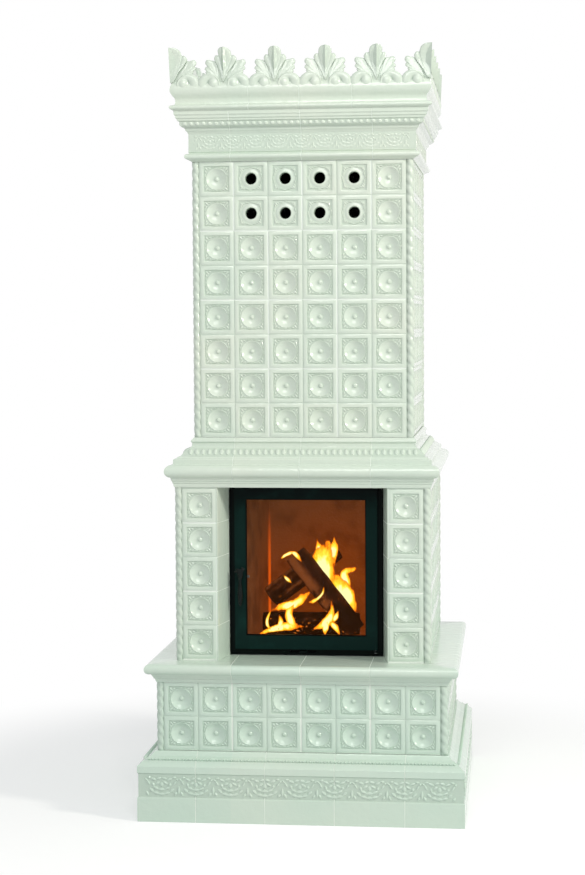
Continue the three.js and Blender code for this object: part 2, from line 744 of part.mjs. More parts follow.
// The fixed frame, with a lug above and below the leaf for the hinge pins.
function doorFrame() {
  const opening = [
    FRAME_OPENING_HALF,
    LEAF_BOTTOM + LEAF_OVERLAP,
    LEAF_TOP - LEAF_OVERLAP / 2,
  ];
  const outer = [FRAME_HALF_WIDTH, FRAME_BOTTOM, FRAME_TOP];
  const flat = ring(outer, opening, FRAME_FACE, FRAME_BACK);
  const reach = PIN_RADIUS + 5;
  const lugs = [LEAF_TOP + 2, LEAF_BOTTOM - 2 - LUG_THICKNESS].map((z) =>
    block(
      [HINGE_X - reach, HINGE_Y - reach + 2, z],
      [HINGE_X + reach, FRAME_FACE + 1, z + LUG_THICKNESS],
    ),
  );
  const bores = bar(PIN_RADIUS + PIN_CLEARANCE, FRAME_BOTTOM, FRAME_TOP, HINGE_X, HINGE_Y);
  return cut(joined([flat, ...lugs]), [bores, airSlot()]);
}

// A wedge-shaped side lining; side is -1 for the left and 1 for the right.
function sideLining(side) {
  const front = LINING_OUTSIDE - LINING_THICKNESS;
  const plan = [
    [LINING_OUTSIDE, HEARTH_FRONT],
    [LINING_OUTSIDE, LINING_BACK],
    [front - LINING_SPLAY, LINING_BACK],
    [front, HEARTH_FRONT],
  ].map(([x, y]) => [side * x, y]);
  return prism(plan, LINING_Z, LINING_Z + LINING_HEIGHT);
}

function hearthPlate() {
  const slab = block(
    [-LINING_OUTSIDE, HEARTH_FRONT, HEARTH_Z],
    [LINING_OUTSIDE, BODY_BACK - BODY_SHEET - GAP, HEARTH_TOP],
  );
  const seat = GRATE_SIZE / 2 + GAP;
  const hole = GRATE_SIZE / 2 - GRATE_LIP;
  const seatZ = HEARTH_TOP - GRATE_THICKNESS - GAP;
  return cut(slab, [
    block([-seat, GRATE_Y - seat, seatZ], [seat, GRATE_Y + seat, HEARTH_TOP + 1]),
    block([-hole, GRATE_Y - hole, HEARTH_Z - 1], [hole, GRATE_Y + hole, HEARTH_TOP]),
  ]);
}

function grate() {
  const half = GRATE_SIZE / 2;
  const z1 = HEARTH_TOP;
  const z0 = z1 - GRATE_THICKNESS;
  const reach = half - GRATE_LIP - 6;
  const pitch = (2 * reach) / GRATE_SLOTS;
  const slots = Array.from({ length: GRATE_SLOTS }, (_, i) => {
    const x = -reach + (i + 0.5) * pitch;
    return block(
      [x - GRATE_SLOT_WIDTH / 2, GRATE_Y - reach, z0 - 1],
      [x + GRATE_SLOT_WIDTH / 2, GRATE_Y + reach, z1 + 1],
    );
  });
  return cut(block([-half, GRATE_Y - half, z0], [half, GRATE_Y + half, z1]), slots);
}

function ashPan() {
  const half = GRATE_SIZE / 2 + PAN_MARGIN;
  const z0 = BODY_BOTTOM + BODY_SHEET + GAP;
  const inner = half - PAN_WALL;
  return cut(block([-half, GRATE_Y - half, z0], [half, GRATE_Y + half, z0 + PAN_HEIGHT]), [
    block(
      [-inner, GRATE_Y - inner, z0 + PAN_WALL],
      [inner, GRATE_Y + inner, z0 + PAN_HEIGHT + 1],
    ),
  ]);
}

function baffle() {
  const back = LINING_BACK + GAP + LINING_THICKNESS;
  return block(
    [-LINING_OUTSIDE, back - BAFFLE_DEPTH, BAFFLE_Z],
    [LINING_OUTSIDE, back, BAFFLE_Z + BAFFLE_THICKNESS],
  );
}

function fluePipe() {
  const bore = FLUE_RADIUS - FLUE_WALL;
  const profile = [
    [bore, BODY_TOP + GAP],
    [FLUE_RADIUS, BODY_TOP + GAP],
    [FLUE_RADIUS, FLUE_TOP - FLUE_RIM_HEIGHT],
    [FLUE_RADIUS + FLUE_RIM, FLUE_TOP - FLUE_RIM_HEIGHT + 8],
    [FLUE_RADIUS + FLUE_RIM, FLUE_TOP],
    [bore, FLUE_TOP],
    [bore, BODY_TOP + GAP],
  ].map(([x, y]) => new THREE.Vector2(x, y));
  const pipe = new THREE.LatheGeometry(profile, 24);
  return pipe.rotateX(Math.PI / 2).translate(0, FLUE_Y, 0);
}

function addInsert() {
  const pedestal = block(
    [-PEDESTAL_HALF_WIDTH, PEDESTAL_FRONT, 0],
    [PEDESTAL_HALF_WIDTH, PEDESTAL_BACK, BODY_BOTTOM - GAP],
  );
  piece("pedestal", pedestal, AERATED_BLOCK);
  piece("firebox_body", fireboxBody(), RAW_STEEL);
  piece("door_frame", doorFrame(), BLACK_STEEL);
  piece("lining_left", sideLining(-1), FIRECLAY);
  piece("lining_right", sideLining(1), FIRECLAY);
  const back = block(
    [-LINING_OUTSIDE, LINING_BACK + GAP, LINING_Z],
    [LINING_OUTSIDE, LINING_BACK + GAP + LINING_THICKNESS, LINING_Z + LINING_HEIGHT],
  );
  piece("lining_back", back, FIRECLAY);
  piece("hearth_plate", hearthPlate(), FIRECLAY);
  piece("grate", grate(), CAST_IRON);
  piece("ash_pan", ashPan(), RAW_STEEL);
  piece("baffle", baffle(), FIRECLAY);
  piece("flue_pipe", fluePipe(), BLACK_STEEL);
}

// ---------------------------------------------------------------- door, handle, air control

function doorLeaf() {
  const { half, bottom, top } = WINDOW;
  const outer = [LEAF_HALF_WIDTH, LEAF_BOTTOM, LEAF_TOP];
  const flat = ring(outer, [half, bottom, top], LEAF_FACE, LEAF_BACK);
  const seat = GLASS_LAP + 2 * GAP;
  const inner = [half + seat, bottom - seat, top + seat];
  const rim = [inner[0] + SEAT_WALL, inner[1] - SEAT_WALL, inner[2] + SEAT_WALL];
  const seatRing = ring(rim, inner, LEAF_BACK - 1, LEAF_BACK + SEAT_DEPTH);
  const pinBore = PIN_RADIUS + PIN_CLEARANCE;
  const deep = PIN_LENGTH_IN_LEAF + 1;
  return cut(joined([flat, seatRing]), [
    bar(pinBore, LEAF_TOP - deep, LEAF_TOP + 1, HINGE_X, HINGE_Y),
    bar(pinBore, LEAF_BOTTOM - 1, LEAF_BOTTOM + deep, HINGE_X, HINGE_Y),
    crossBar(SPINDLE_RADIUS + GAP, LEAF_FACE - 1, LEAF_BACK + 1, HANDLE_X, HANDLE_Z),
  ]);
}

// A hinge pin with its head outside the lug; up is 1 for the top pin and -1 for the bottom.
function hingePin(up) {
  const leafEnd = up > 0 ? LEAF_TOP : LEAF_BOTTOM;
  const at = (distance) => leafEnd + up * distance;
  const seat = 2 + LUG_THICKNESS + GAP;
  const span = (a, b) => [Math.min(at(a), at(b)), Math.max(at(a), at(b))];
  const shaft = bar(PIN_RADIUS, ...span(-PIN_LENGTH_IN_LEAF, seat), HINGE_X, HINGE_Y);
  const head = bar(PIN_RADIUS + 2, ...span(seat - 0.1, seat + 2), HINGE_X, HINGE_Y);
  return joined([shaft, head]);
}

// The lever seen from the front, round its spindle: a forked top, a waist and a long tail.
function leverOutline() {
  const right = [
    [9, HANDLE_TOP - 15],
    [14.5, HANDLE_TOP - 2],
    [12, HANDLE_TOP],
  ];
  const left = [
    [-6, HANDLE_TOP - 6],
    [-13, HANDLE_TOP - 8],
    [-15, HANDLE_TOP - 13],
    [-11, 8],
  ];
  const tail = [
    [-5, -14],
    [-8, -44],
    [-6, -72],
    [0, -HANDLE_TAIL],
    [6, -72],
    [8, -44],
    [5, -14],
    [8, 6],
  ];
  const around = [...tail, ...right, ...left];
  return around.map(([x, z]) => [HANDLE_X + x, HANDLE_Z + z]);
}

function handleLever() {
  const front = LEAF_FACE - HANDLE_REACH - HANDLE_THICKNESS;
  const lever = plate(leverOutline(), front, front + HANDLE_THICKNESS);
  const neck = crossBar(
    NECK_RADIUS,
    front + HANDLE_THICKNESS - 1,
    LEAF_FACE - GAP,
    HANDLE_X,
    HANDLE_Z,
  );
  const end = FRAME_BACK + 2 + CAM_THICKNESS + 2;
  const spindle = crossBar(SPINDLE_RADIUS, LEAF_FACE - 2, end, HANDLE_X, HANDLE_Z);
  return joined([lever, neck, spindle]);
}

// The cam on the spindle's inner end; it stays inside the frame's opening at every angle.
function latchCam() {
  const y0 = FRAME_BACK + 2;
  const y1 = y0 + CAM_THICKNESS;
  const eye = crossBar(CAM_WIDTH / 2, y0, y1, HANDLE_X, HANDLE_Z);
  const arm = block(
    [HANDLE_X, y0, HANDLE_Z - CAM_WIDTH / 3],
    [HANDLE_X + CAM_LENGTH, y1, HANDLE_Z + CAM_WIDTH / 3],
  );
  const bore = crossBar(SPINDLE_RADIUS + GAP, y0 - 1, y1 + 1, HANDLE_X, HANDLE_Z);
  return cut(joined([eye, arm]), [bore]);
}

function glassPane() {
  const { half, bottom, top } = WINDOW;
  return block(
    [-half - GLASS_LAP, LEAF_BACK + GAP, bottom - GLASS_LAP],
    [half + GLASS_LAP, LEAF_BACK + GAP + GLASS_THICKNESS, top + GLASS_LAP],
  );
}

function glassRetainer() {
  const { half, bottom, top } = WINDOW;
  const y0 = LEAF_BACK + GLASS_THICKNESS + 2 * GAP;
  const outer = [half + GLASS_LAP, bottom - GLASS_LAP, top + GLASS_LAP];
  return ring(outer, [half - 2, bottom + 2, top - 2], y0, y0 + GLASS_THICKNESS);
}

function airSlider() {
  const plateZ = SURROUND_Z + TAB_RISE + TAB_HEIGHT / 2 - SLIDE_PLATE_HEIGHT / 2;
  const y0 = BODY_FRONT + BODY_SHEET + GAP;
  const back = block(
    [TAB_X - SLIDE_PLATE_WIDTH / 2, y0, plateZ],
    [TAB_X + SLIDE_PLATE_WIDTH / 2, y0 + SLIDE_PLATE_THICKNESS, plateZ + SLIDE_PLATE_HEIGHT],
  );
  const tab = block(
    [TAB_X - TAB_WIDTH / 2, FRAME_FACE - TAB_REACH, SURROUND_Z + TAB_RISE],
    [TAB_X + TAB_WIDTH / 2, y0 + 1, SURROUND_Z + TAB_RISE + TAB_HEIGHT],
  );
  return joined([back, tab]);
}

function addDoor() {
  piece("door_leaf", doorLeaf(), BLACK_STEEL);
  piece("glass_pane", glassPane(), DOOR_GLASS);
  piece("glass_retainer", glassRetainer(), BLACK_STEEL);
  piece("hinge_pin_top", hingePin(1), RAW_STEEL);
  piece("hinge_pin_bottom", hingePin(-1), RAW_STEEL);
  piece("handle_lever", handleLever(), BLACK_STEEL);
  piece("latch_cam", latchCam(), RAW_STEEL);
  piece("air_slider", airSlider(), BLACK_STEEL);
}

// ---------------------------------------------------------------- firewood

// A split log: a quarter-round bar with its rough length along X, before it is placed.
function splitLog(length, radius) {
  const round = arc(0, 0, radius, -15, 165, 5);
  const shape = new THREE.Shape(
    [...round, [-radius * 0.35, -radius * 0.75], [radius * 0.5, -radius * 0.7]].map(
      ([x, y]) => new THREE.Vector2(x, y),
    ),
  );
  const body = new THREE.ExtrudeGeometry(shape, { depth: length, bevelEnabled: false });
  return body.translate(0, 0, -length / 2).rotateY(Math.PI / 2);
}

// Lays a log at a tilt, its lower end standing on the given level.
function layLog(name, length, x, y, level, degrees) {
  const tilt = THREE.MathUtils.degToRad(degrees);
  const log = piece(name, splitLog(length, LOG_RADIUS), SPLIT_WOOD);
  const lift = LOG_RADIUS * Math.cos(tilt) + (length / 2) * Math.abs(Math.sin(tilt));
  log.position.set(x, y, level + lift + 1);
  log.rotation.y = tilt;
}

// Three logs on the hearth: one lying across, one leaning on it and one in front of them.
function addLogs() {
  const behind = GRATE_Y + 45;
  layLog("log_base", LOG_LENGTH, -10, behind, HEARTH_TOP, 0);
  const onBase = HEARTH_TOP + 2 * LOG_RADIUS + 1;
  layLog("log_left", LOG_LENGTH * 0.85, -36, behind + 5, onBase, -37);
  layLog("log_right", LOG_LENGTH, 49, behind - 2.3 * LOG_RADIUS, HEARTH_TOP, 52);
}

addBase();
addSurround();
addTower();
addInsert();
addDoor();
addLogs();

export default stove;
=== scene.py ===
"""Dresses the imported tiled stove: glazed relief tiles, mouldings, leaf gallery, door and fire.

Meshes are built in millimetres and scaled once, when they are placed. Finishes and the studio
are in metres.
"""

import logging
import math
import random
from collections.abc import Iterable, Sequence
from dataclasses import dataclass
from enum import Enum

import bmesh
import bpy
from mathutils import Euler, Matrix, Vector


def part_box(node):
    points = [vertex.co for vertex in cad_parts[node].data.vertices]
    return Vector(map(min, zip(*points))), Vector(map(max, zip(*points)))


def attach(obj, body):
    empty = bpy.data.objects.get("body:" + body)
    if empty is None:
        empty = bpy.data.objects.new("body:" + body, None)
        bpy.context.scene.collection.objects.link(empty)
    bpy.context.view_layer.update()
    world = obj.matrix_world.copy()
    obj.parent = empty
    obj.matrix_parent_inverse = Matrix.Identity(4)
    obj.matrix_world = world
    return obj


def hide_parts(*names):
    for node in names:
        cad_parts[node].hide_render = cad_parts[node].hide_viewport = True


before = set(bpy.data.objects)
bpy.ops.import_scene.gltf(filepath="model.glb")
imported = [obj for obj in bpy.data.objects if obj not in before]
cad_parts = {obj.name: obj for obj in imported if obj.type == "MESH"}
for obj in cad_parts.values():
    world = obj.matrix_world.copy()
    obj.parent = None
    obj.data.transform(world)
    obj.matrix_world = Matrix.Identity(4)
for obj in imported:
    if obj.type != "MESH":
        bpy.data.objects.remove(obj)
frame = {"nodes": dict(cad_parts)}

LOG = logging.getLogger("tiled_stove")
MM = 0.001

GAP = 0.3  # clearance between a course and the one above it
BOWL = 111.5  # pitch of one bowl square, joint included
ROPE = 24.0  # diameter of the rope moulding at each corner
BENCH_BOWLS = 8
SURROUND_BOWLS = 7
TOWER_BOWLS = 6

Point = tuple[float, float]
Triple = tuple[float, float, float]
Colour = Triple


def half_of(bowls: int) -> float:
    """Half of the width of a storey that is so many bowls wide, ropes included."""
    return bowls * BOWL / 2 + ROPE


def level(node: str) -> float:
    """Height of a node's underside."""
    return round(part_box(node)[0].z / MM, 2)


def inside(node: str) -> float:
    """Distance from the axis to the back of a front node."""
    return round(-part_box(node)[1].y / MM, 2)


# ---------------------------------------------------------------- shader building


class Value:
    """A shader socket that can be used in Python arithmetic."""

    def __init__(self, shader: "Shader", socket: bpy.types.NodeSocket) -> None:
        """Wraps an output socket of a shader."""
        self.shader = shader
        self.socket = socket

    def _math(self, operation: str, *inputs: "Value | float") -> "Value":
        """Adds one Math node."""
        values = {i: value for i, value in enumerate(inputs)}
        return self.shader.node("ShaderNodeMath", {"operation": operation}, values)

    def __add__(self, other: "Value | float") -> "Value":
        """Sum."""
        return self._math("ADD", self, other)

    __radd__ = __add__

    def __sub__(self, other: "Value | float") -> "Value":
        """Difference."""
        return self._math("SUBTRACT", self, other)

    def __rsub__(self, other: float) -> "Value":
        """Difference with the number first."""
        return self._math("SUBTRACT", other, self)

    def __mul__(self, other: "Value | float") -> "Value":
        """Product."""
        return self._math("MULTIPLY", self, other)

    __rmul__ = __mul__

    def __pow__(self, other: float) -> "Value":
        """Power."""
        return self._math("POWER", self, other)

    def over(self, low: float, high: float) -> "Value":
        """A smooth mask: 0 at low and under, 1 at high and over.

        Args:
            low: Where the mask starts to rise.
            high: Where it is full.

        Returns:
            The mask.
        """
        settings = {"interpolation_type": "SMOOTHSTEP"}
        return self.shader.node("ShaderNodeMapRange", settings, {0: self, 1: low, 2: high})


class Shader:
    """The node tree of a material or the world, built through one node method."""

    def __init__(self, name: str, world: bool = False) -> None:
        """Starts an empty material or world.

        Args:
            name: Its name.
            world: Whether it is a world.
        """
        self.owner = (bpy.data.worlds if world else bpy.data.materials).new(name)
        self.owner.use_nodes = True
        self.tree = self.owner.node_tree
        self.tree.nodes.clear()

    def node(
        self,
        kind: str,
        settings: dict[str, object] | None = None,
        inputs: dict[int | str, object] | None = None,
        output: int | str = 0,
    ) -> Value:
        """Adds a node, sets it up and links it.

        Args:
            kind: The node's type.
            settings: Attributes set before the sockets; "stops" fills a colour ramp.
            inputs: Socket values, or Values to link, by index or name.
            output: Which output is wanted.

        Returns:
            The wanted output.
        """
        made = self.tree.nodes.new(kind)
        for key, setting in (settings or {}).items():
            if key == "stops":
                self._fill_ramp(made.color_ramp, setting)
            else:
                setattr(made, key, setting)
        for key, value in (inputs or {}).items():
            if isinstance(value, Value):
                self.tree.links.new(value.socket, made.inputs[key])
            else:
                made.inputs[key].default_value = value
        return Value(self, made.outputs[output])

    @staticmethod
    def _fill_ramp(ramp: bpy.types.ColorRamp, stops: Sequence[tuple[float, Colour]]) -> None:
        """Gives a colour ramp its stops."""
        while len(ramp.elements) < len(stops):
            ramp.elements.new(0.5)
        for element, (position, colour) in zip(ramp.elements, stops, strict=True):
            element.position = position
            element.color = (*colour, 1.0)

    def place(self) -> Value:
        """The point on the piece, in metres."""
        return self.node("ShaderNodeTexCoord", output="Object")

    def height(self) -> Value:
        """Height above the floor, in metres."""
        return self.node("ShaderNodeSeparateXYZ", inputs={0: self.place()}, output="Z")

    def attribute(self, name: str) -> Value:
        """A value stored in the mesh."""
        return self.node("ShaderNodeAttribute", {"attribute_name": name}, output="Fac")

    def noise(self, scale: float, detail: float = 3.0, stretch: Triple = (1, 1, 1)) -> Value:
        """Smooth noise, from about 0.3 to 0.7.

        Args:
            scale: Cells to a metre.
            detail: Octaves.
            stretch: Scale along each axis.

        Returns:
            The noise.
        """
        at = self.node("ShaderNodeMapping", inputs={"Vector": self.place(), "Scale": stretch})
        inputs = {"Vector": at, "Scale": scale, "Detail": detail}
        return self.node("ShaderNodeTexNoise", inputs=inputs)

    def tile_shade(self, size: float, shift: float) -> Value:
        """A random number for each tile of a grid.

        Args:
            size: Side of a tile, in metres.
            shift: Where the grid starts on each axis, in metres.

        Returns:
            A number from 0 to 1.
        """
        grid = {"Scale": (1 / size,) * 3, "Location": (-shift / size,) * 3}
        at = self.node("ShaderNodeMapping", inputs=grid | {"Vector": self.place()})
        cell = self.node("ShaderNodeVectorMath", {"operation": "FLOOR"}, {0: at})
        return self.node("ShaderNodeTexWhiteNoise", inputs={"Vector": cell})

    def mix(self, mask: "Value | float", low: object, high: object) -> Value:
        """Mixes two colours.

        Args:
            mask: 0 for the first and 1 for the second.
            low: A colour or a Value.
            high: A colour or a Value.

        Returns:
            The mixed colour.
        """
        ends = [end if isinstance(end, Value) else (*end, 1.0) for end in (low, high)]
        inputs = {0: mask, 6: ends[0], 7: ends[1]}
        return self.node("ShaderNodeMix", {"data_type": "RGBA"}, inputs, 2)

    def bump(self, height: Value, distance: float, strength: float = 1.0) -> Value:
        """Turns a height into a normal.

        Args:
            height: From 0 to 1.
            distance: What 1 stands for, in metres.
            strength: How much of it shows.

        Returns:
            The normal.
        """
        inputs = {"Height": height, "Distance": distance, "Strength": strength}
        return self.node("ShaderNodeBump", inputs=inputs)

    def finish(self, **inputs: object) -> bpy.types.Material:
        """Ends the material in one Principled shader.

        Args:
            **inputs: Socket values by name, with _ for a space.

        Returns:
            The material.
        """
        sockets = {key.replace("_", " "): value for key, value in inputs.items()}
        return self.close(self.node("ShaderNodeBsdfPrincipled", inputs=sockets))

    def close(self, surface: Value) -> bpy.types.ID:
        """Links a surface to the output.

        Args:
            surface: The last shader.

        Returns:
            The material or world.
        """
        kind = "World" if isinstance(self.owner, bpy.types.World) else "Material"
        made = self.tree.nodes.new(f"ShaderNodeOutput{kind}")
        self.tree.links.new(surface.socket, made.inputs["Surface"])
        return self.owner

    def looked_at(self) -> Value:
        """1 for rays from the camera, in mirrors or through glass, and 0 for other light."""
        rays = [
            self.node("ShaderNodeLightPath", output=f"Is {kind} Ray")
            for kind in ("Camera", "Glossy", "Transmission")
        ]
        return (rays[0] + rays[1] + rays[2]).over(0.0, 1.0)


# ---------------------------------------------------------------- finishes


@dataclass(frozen=True)
class Glaze:
    """Glossy pale green-white stove glaze, a little different from tile to tile.

    It is cooler in tone near the floor, and darker in the relief, where the glaze pools and where
    shade is painted in.
    """

    name: str = "glaze"
    pale: Colour = (0.735, 0.80, 0.70)
    cool: Colour = (0.61, 0.75, 0.655)
    pooled_and_shaded: Colour = (0.43, 0.53, 0.45)
    tile: float = 0.223
    off_the_face: float = 0.0005
    cool_heights: Point = (0.1, 1.5)
    roughness: float = 0.10
    ripple: float = 0.0011

    def make(self) -> bpy.types.Material:
        """Builds the material."""
        shader = Shader(self.name)
        shade = shader.tile_shade(self.tile, self.off_the_face)
        drift = shader.noise(3.0).over(0.35, 0.65)
        low = 1 - shader.height().over(*self.cool_heights)
        colour = shader.mix(shade * 0.25 + drift * 0.25 + low * 0.6, self.pale, self.cool)
        # pooled glaze and painted shade: darker in the relief's recesses, by the mesh's stored
        # depth
        colour = shader.mix(shader.attribute("pool") * 0.85, colour, self.pooled_and_shaded)
        speckle = shader.noise(420.0, 2.0).over(0.42, 0.72)
        colour = shader.mix(speckle * 0.05, colour, self.pooled_and_shaded)
        ripple = shader.noise(38.0, 2.0) + shader.noise(260.0, 1.0) * 0.25
        return shader.finish(
            Base_Color=colour,
            Roughness=shader.noise(60.0).over(0.3, 0.7) * 0.07 + (self.roughness - 0.03),
            Normal=shader.bump(ripple, self.ripple),
            IOR=1.55,
        )


@dataclass(frozen=True)
class Grout:
    """Pale fine joint filler."""

    name: str = "grout"
    colour: Colour = (0.82, 0.88, 0.82)
    dark: Colour = (0.70, 0.77, 0.70)
    relief: float = 0.0003

    def make(self) -> bpy.types.Material:
        """Builds the material."""
        shader = Shader(self.name)
        grain = shader.noise(700.0)
        colour = shader.mix(grain * 0.25, self.colour, self.dark)
        normal = shader.bump(grain, self.relief)
        return shader.finish(Base_Color=colour, Roughness=0.75, Normal=normal)


@dataclass(frozen=True)
class StovePaint:
    """Satin near-black heat-resistant paint with a green cast, paler in worn patches and low down,
    where a reflection is painted in.
    """

    name: str = "stove_paint"
    colour: Colour = (0.0008, 0.0018, 0.0018)
    worn_and_reflected: Colour = (0.003, 0.007, 0.006)
    reflection_heights: Point = (0.98, 1.06)
    roughness: float = 0.32
    shine: float = 0.05
    relief: float = 0.00012

    def make(self) -> bpy.types.Material:
        """Builds the material."""
        shader = Shader(self.name)
        grain = shader.noise(900.0, 2.0)
        patches = shader.noise(14.0).over(0.5, 0.75)
        # random worn patches, and a painted reflection that makes the paint paler below a height
        wear_and_reflection = patches * 0.4 + (1 - shader.height().over(*self.reflection_heights)) * 0.6
        return shader.finish(
            Base_Color=shader.mix(wear_and_reflection, self.colour, self.worn_and_reflected),
            Specular_IOR_Level=self.shine,
            Roughness=grain * 0.16 + (self.roughness - 0.08),
            Normal=shader.bump(grain, self.relief),
        )


@dataclass(frozen=True)
class RawSteel:
    """Dull bare steel, blued by heat."""

    name: str = "raw_steel"
    colour: Colour = (0.20, 0.20, 0.205)
    stained: Colour = (0.11, 0.10, 0.12)
    rolled: Triple = (1, 1, 0.1)
    relief: float = 0.00008

    def make(self) -> bpy.types.Material:
        """Builds the material."""
        shader = Shader(self.name)
        stain = shader.noise(24.0).over(0.35, 0.7)
        grain = shader.noise(500.0, 2.0, self.rolled)
        return shader.finish(
            Base_Color=shader.mix(stain, self.colour, self.stained),
            Metallic=1.0,
            Roughness=stain * 0.2 + grain * 0.15 + 0.3,
            Normal=shader.bump(grain, self.relief),
        )


@dataclass(frozen=True)
class CastIron:
    """Rough grey iron under a little ash."""

    name: str = "cast_iron"
    iron: Colour = (0.02, 0.02, 0.02)
    ash: Colour = (0.20, 0.19, 0.18)
    relief: float = 0.0006

    def make(self) -> bpy.types.Material:
        """Builds the material."""
        shader = Shader(self.name)
        grain = shader.noise(300.0, 4.0)
        colour = shader.mix(shader.noise(30.0).over(0.48, 0.7), self.iron, self.ash)
        normal = shader.bump(grain, self.relief)
        return shader.finish(Base_Color=colour, Roughness=0.85, Normal=normal)


@dataclass(frozen=True)
class FireLining:
    """Sooted firebrick, glowing orange-brown in the light of the fire, most in one corner seam."""

    name: str = "fire_lining"
    brick: Colour = (0.20, 0.075, 0.03)
    sooted: Colour = (0.09, 0.032, 0.016)
    near: Colour = (0.19, 0.034, 0.0025)
    far: Colour = (0.072, 0.026, 0.008)
    dull: Colour = (0.04, 0.010, 0.002)
    seam: Colour = (0.80, 0.11, 0.004)
    heart: Triple = (0.06, 0.10, 0.66)
    glow_reach: Point = (0.08, 0.44)
    corner_x: float = -0.170
    seam_heights: Point = (0.72, 0.98)
    seam_width: Point = (2e-6, 2e-5)  # squared distances
    relief: float = 0.001

    def make(self) -> bpy.types.Material:
        """Builds the material."""
        shader = Shader(self.name)
        grain = shader.noise(120.0, 4.0)
        soot = shader.noise(9.0).over(0.4, 0.7)
        ends = {0: shader.place(), 1: self.heart}
        away = shader.node("ShaderNodeVectorMath", {"operation": "DISTANCE"}, ends, "Value")
        glow = shader.mix(away.over(*self.glow_reach), self.near, self.far)
        glow = shader.mix(soot * 0.25, glow, self.dull)
        across = shader.node("ShaderNodeSeparateXYZ", inputs={0: shader.place()}) - self.corner_x
        low = 1 - shader.height().over(*self.seam_heights)
        seam = (1 - (across * across).over(*self.seam_width)) * low
        return shader.finish(
            Base_Color=shader.mix(soot, self.brick, self.sooted),
            Specular_IOR_Level=0.1,
            Roughness=0.95,
            Emission_Color=shader.mix(seam, glow, self.seam),
            Emission_Strength=0.8,
            Normal=shader.bump(grain, self.relief),
        )


@dataclass(frozen=True)
class AeratedBlock:
    """Pale porous building block."""

    name: str = "aerated_block"
    dark: Colour = (0.66, 0.64, 0.60)
    light: Colour = (0.74, 0.72, 0.68)
    pore: Colour = (0.48, 0.46, 0.43)
    relief: float = 0.0012

    def make(self) -> bpy.types.Material:
        """Builds the material."""
        shader = Shader(self.name)
        pores = shader.noise(350.0, 3.0).over(0.55, 0.65)
        colour = shader.mix(shader.noise(6.0), self.dark, self.light)
        return shader.finish(
            Base_Color=shader.mix(pores, colour, self.pore),
            Roughness=0.95,
            Normal=shader.bump(1 - pores, self.relief),
        )


@dataclass(frozen=True)
class DoorGlass:
    """Clear ceramic glass, faintly brown, that bends little of what stands behind it."""

    name: str = "door_glass"
    tint: Colour = (0.97, 0.95, 0.92)
    bending: float = 1.07

    def make(self) -> bpy.types.Material:
        """Builds the material."""
        shader = Shader(self.name)
        haze = shader.noise(8.0).over(0.4, 0.8)
        return shader.finish(
            Base_Color=(*self.tint, 1.0),
            Roughness=haze * 0.02,
            Transmission_Weight=1.0,
            IOR=self.bending,
        )


@dataclass(frozen=True)
class BurningWood:
    """Split wood, brown where it is whole and black where it is charred, with embers low down and
    painted firelight on it.
    """

    name: str = "burning_wood"
    whole: Colour = (0.11, 0.032, 0.010)
    grained: Colour = (0.025, 0.007, 0.003)
    charred: Colour = (0.006, 0.003, 0.002)
    lit: Colour = (0.13, 0.036, 0.009)
    lit_char: Colour = (0.02, 0.005, 0.001)
    lit_grain: Colour = (0.018, 0.005, 0.001)
    ember: Colour = (1.0, 0.25, 0.03)
    ember_heights: Point = (0.60, 0.70)
    relief: float = 0.002

    def make(self) -> bpy.types.Material:
        """Builds the material."""
        shader = Shader(self.name)
        fibre = shader.noise(90.0, 4.0)
        grain = (shader.attribute("grain") * 0.7 + fibre * 0.5).over(0.3, 0.8)
        low = 1 - shader.height().over(*self.ember_heights)
        char = (shader.noise(14.0, 2.0) + low * 0.3).over(0.52, 0.72)
        wood = shader.mix(grain, self.whole, self.grained)
        ember = shader.noise(80.0, 6.0).over(0.60, 0.67) * shader.noise(12.0).over(0.5, 0.6)
        # painted firelight: the wood glows as if lit by the flames, less on char and grain
        painted_firelight = shader.mix(grain, shader.mix(char, self.lit, self.lit_char), self.lit_grain)
        return shader.finish(
            Base_Color=shader.mix(char, wood, self.charred),
            Specular_IOR_Level=0.1,
            Roughness=0.9,
            Emission_Color=shader.mix(ember * low, painted_firelight, self.ember),
            Emission_Strength=1.0,
            Normal=shader.bump(fibre, self.relief),
        )


@dataclass(frozen=True)
class FlameLight:
    """Burning gas: pale yellow in the middle of a tongue and orange at its ragged edges."""

    name: str = "flame_light"
    stops: tuple[tuple[float, Colour], ...] = (
        (0.0, (0.85, 0.06, 0.002)),
        (0.34, (1.0, 0.20, 0.005)),
        (0.56, (1.0, 0.50, 0.018)),
        (0.78, (1.0, 0.80, 0.06)),
        (1.0, (1.0, 0.97, 0.42)),
    )
    edge: Point = (0.16, 0.42)

    def make(self) -> bpy.types.Material:
        """Builds the material."""
        shader = Shader(self.name)
        lick = shader.noise(55.0, 3.0, (1.0, 1.0, 0.45)) - 0.5
        fine = shader.noise(150.0, 2.0, (1.0, 1.0, 0.4)) - 0.5
        burn = shader.attribute("burn") * 1.25 + lick * 1.1 + fine * 0.35
        return shader.finish(
            Base_Color=(0.0, 0.0, 0.0, 1.0),
            Roughness=1.0,
            Specular_IOR_Level=0.0,
            Emission_Color=shader.node("ShaderNodeValToRGB", {"stops": self.stops}, {0: burn}),
            Emission_Strength=1.2,
            Alpha=burn.over(*self.edge),
        )


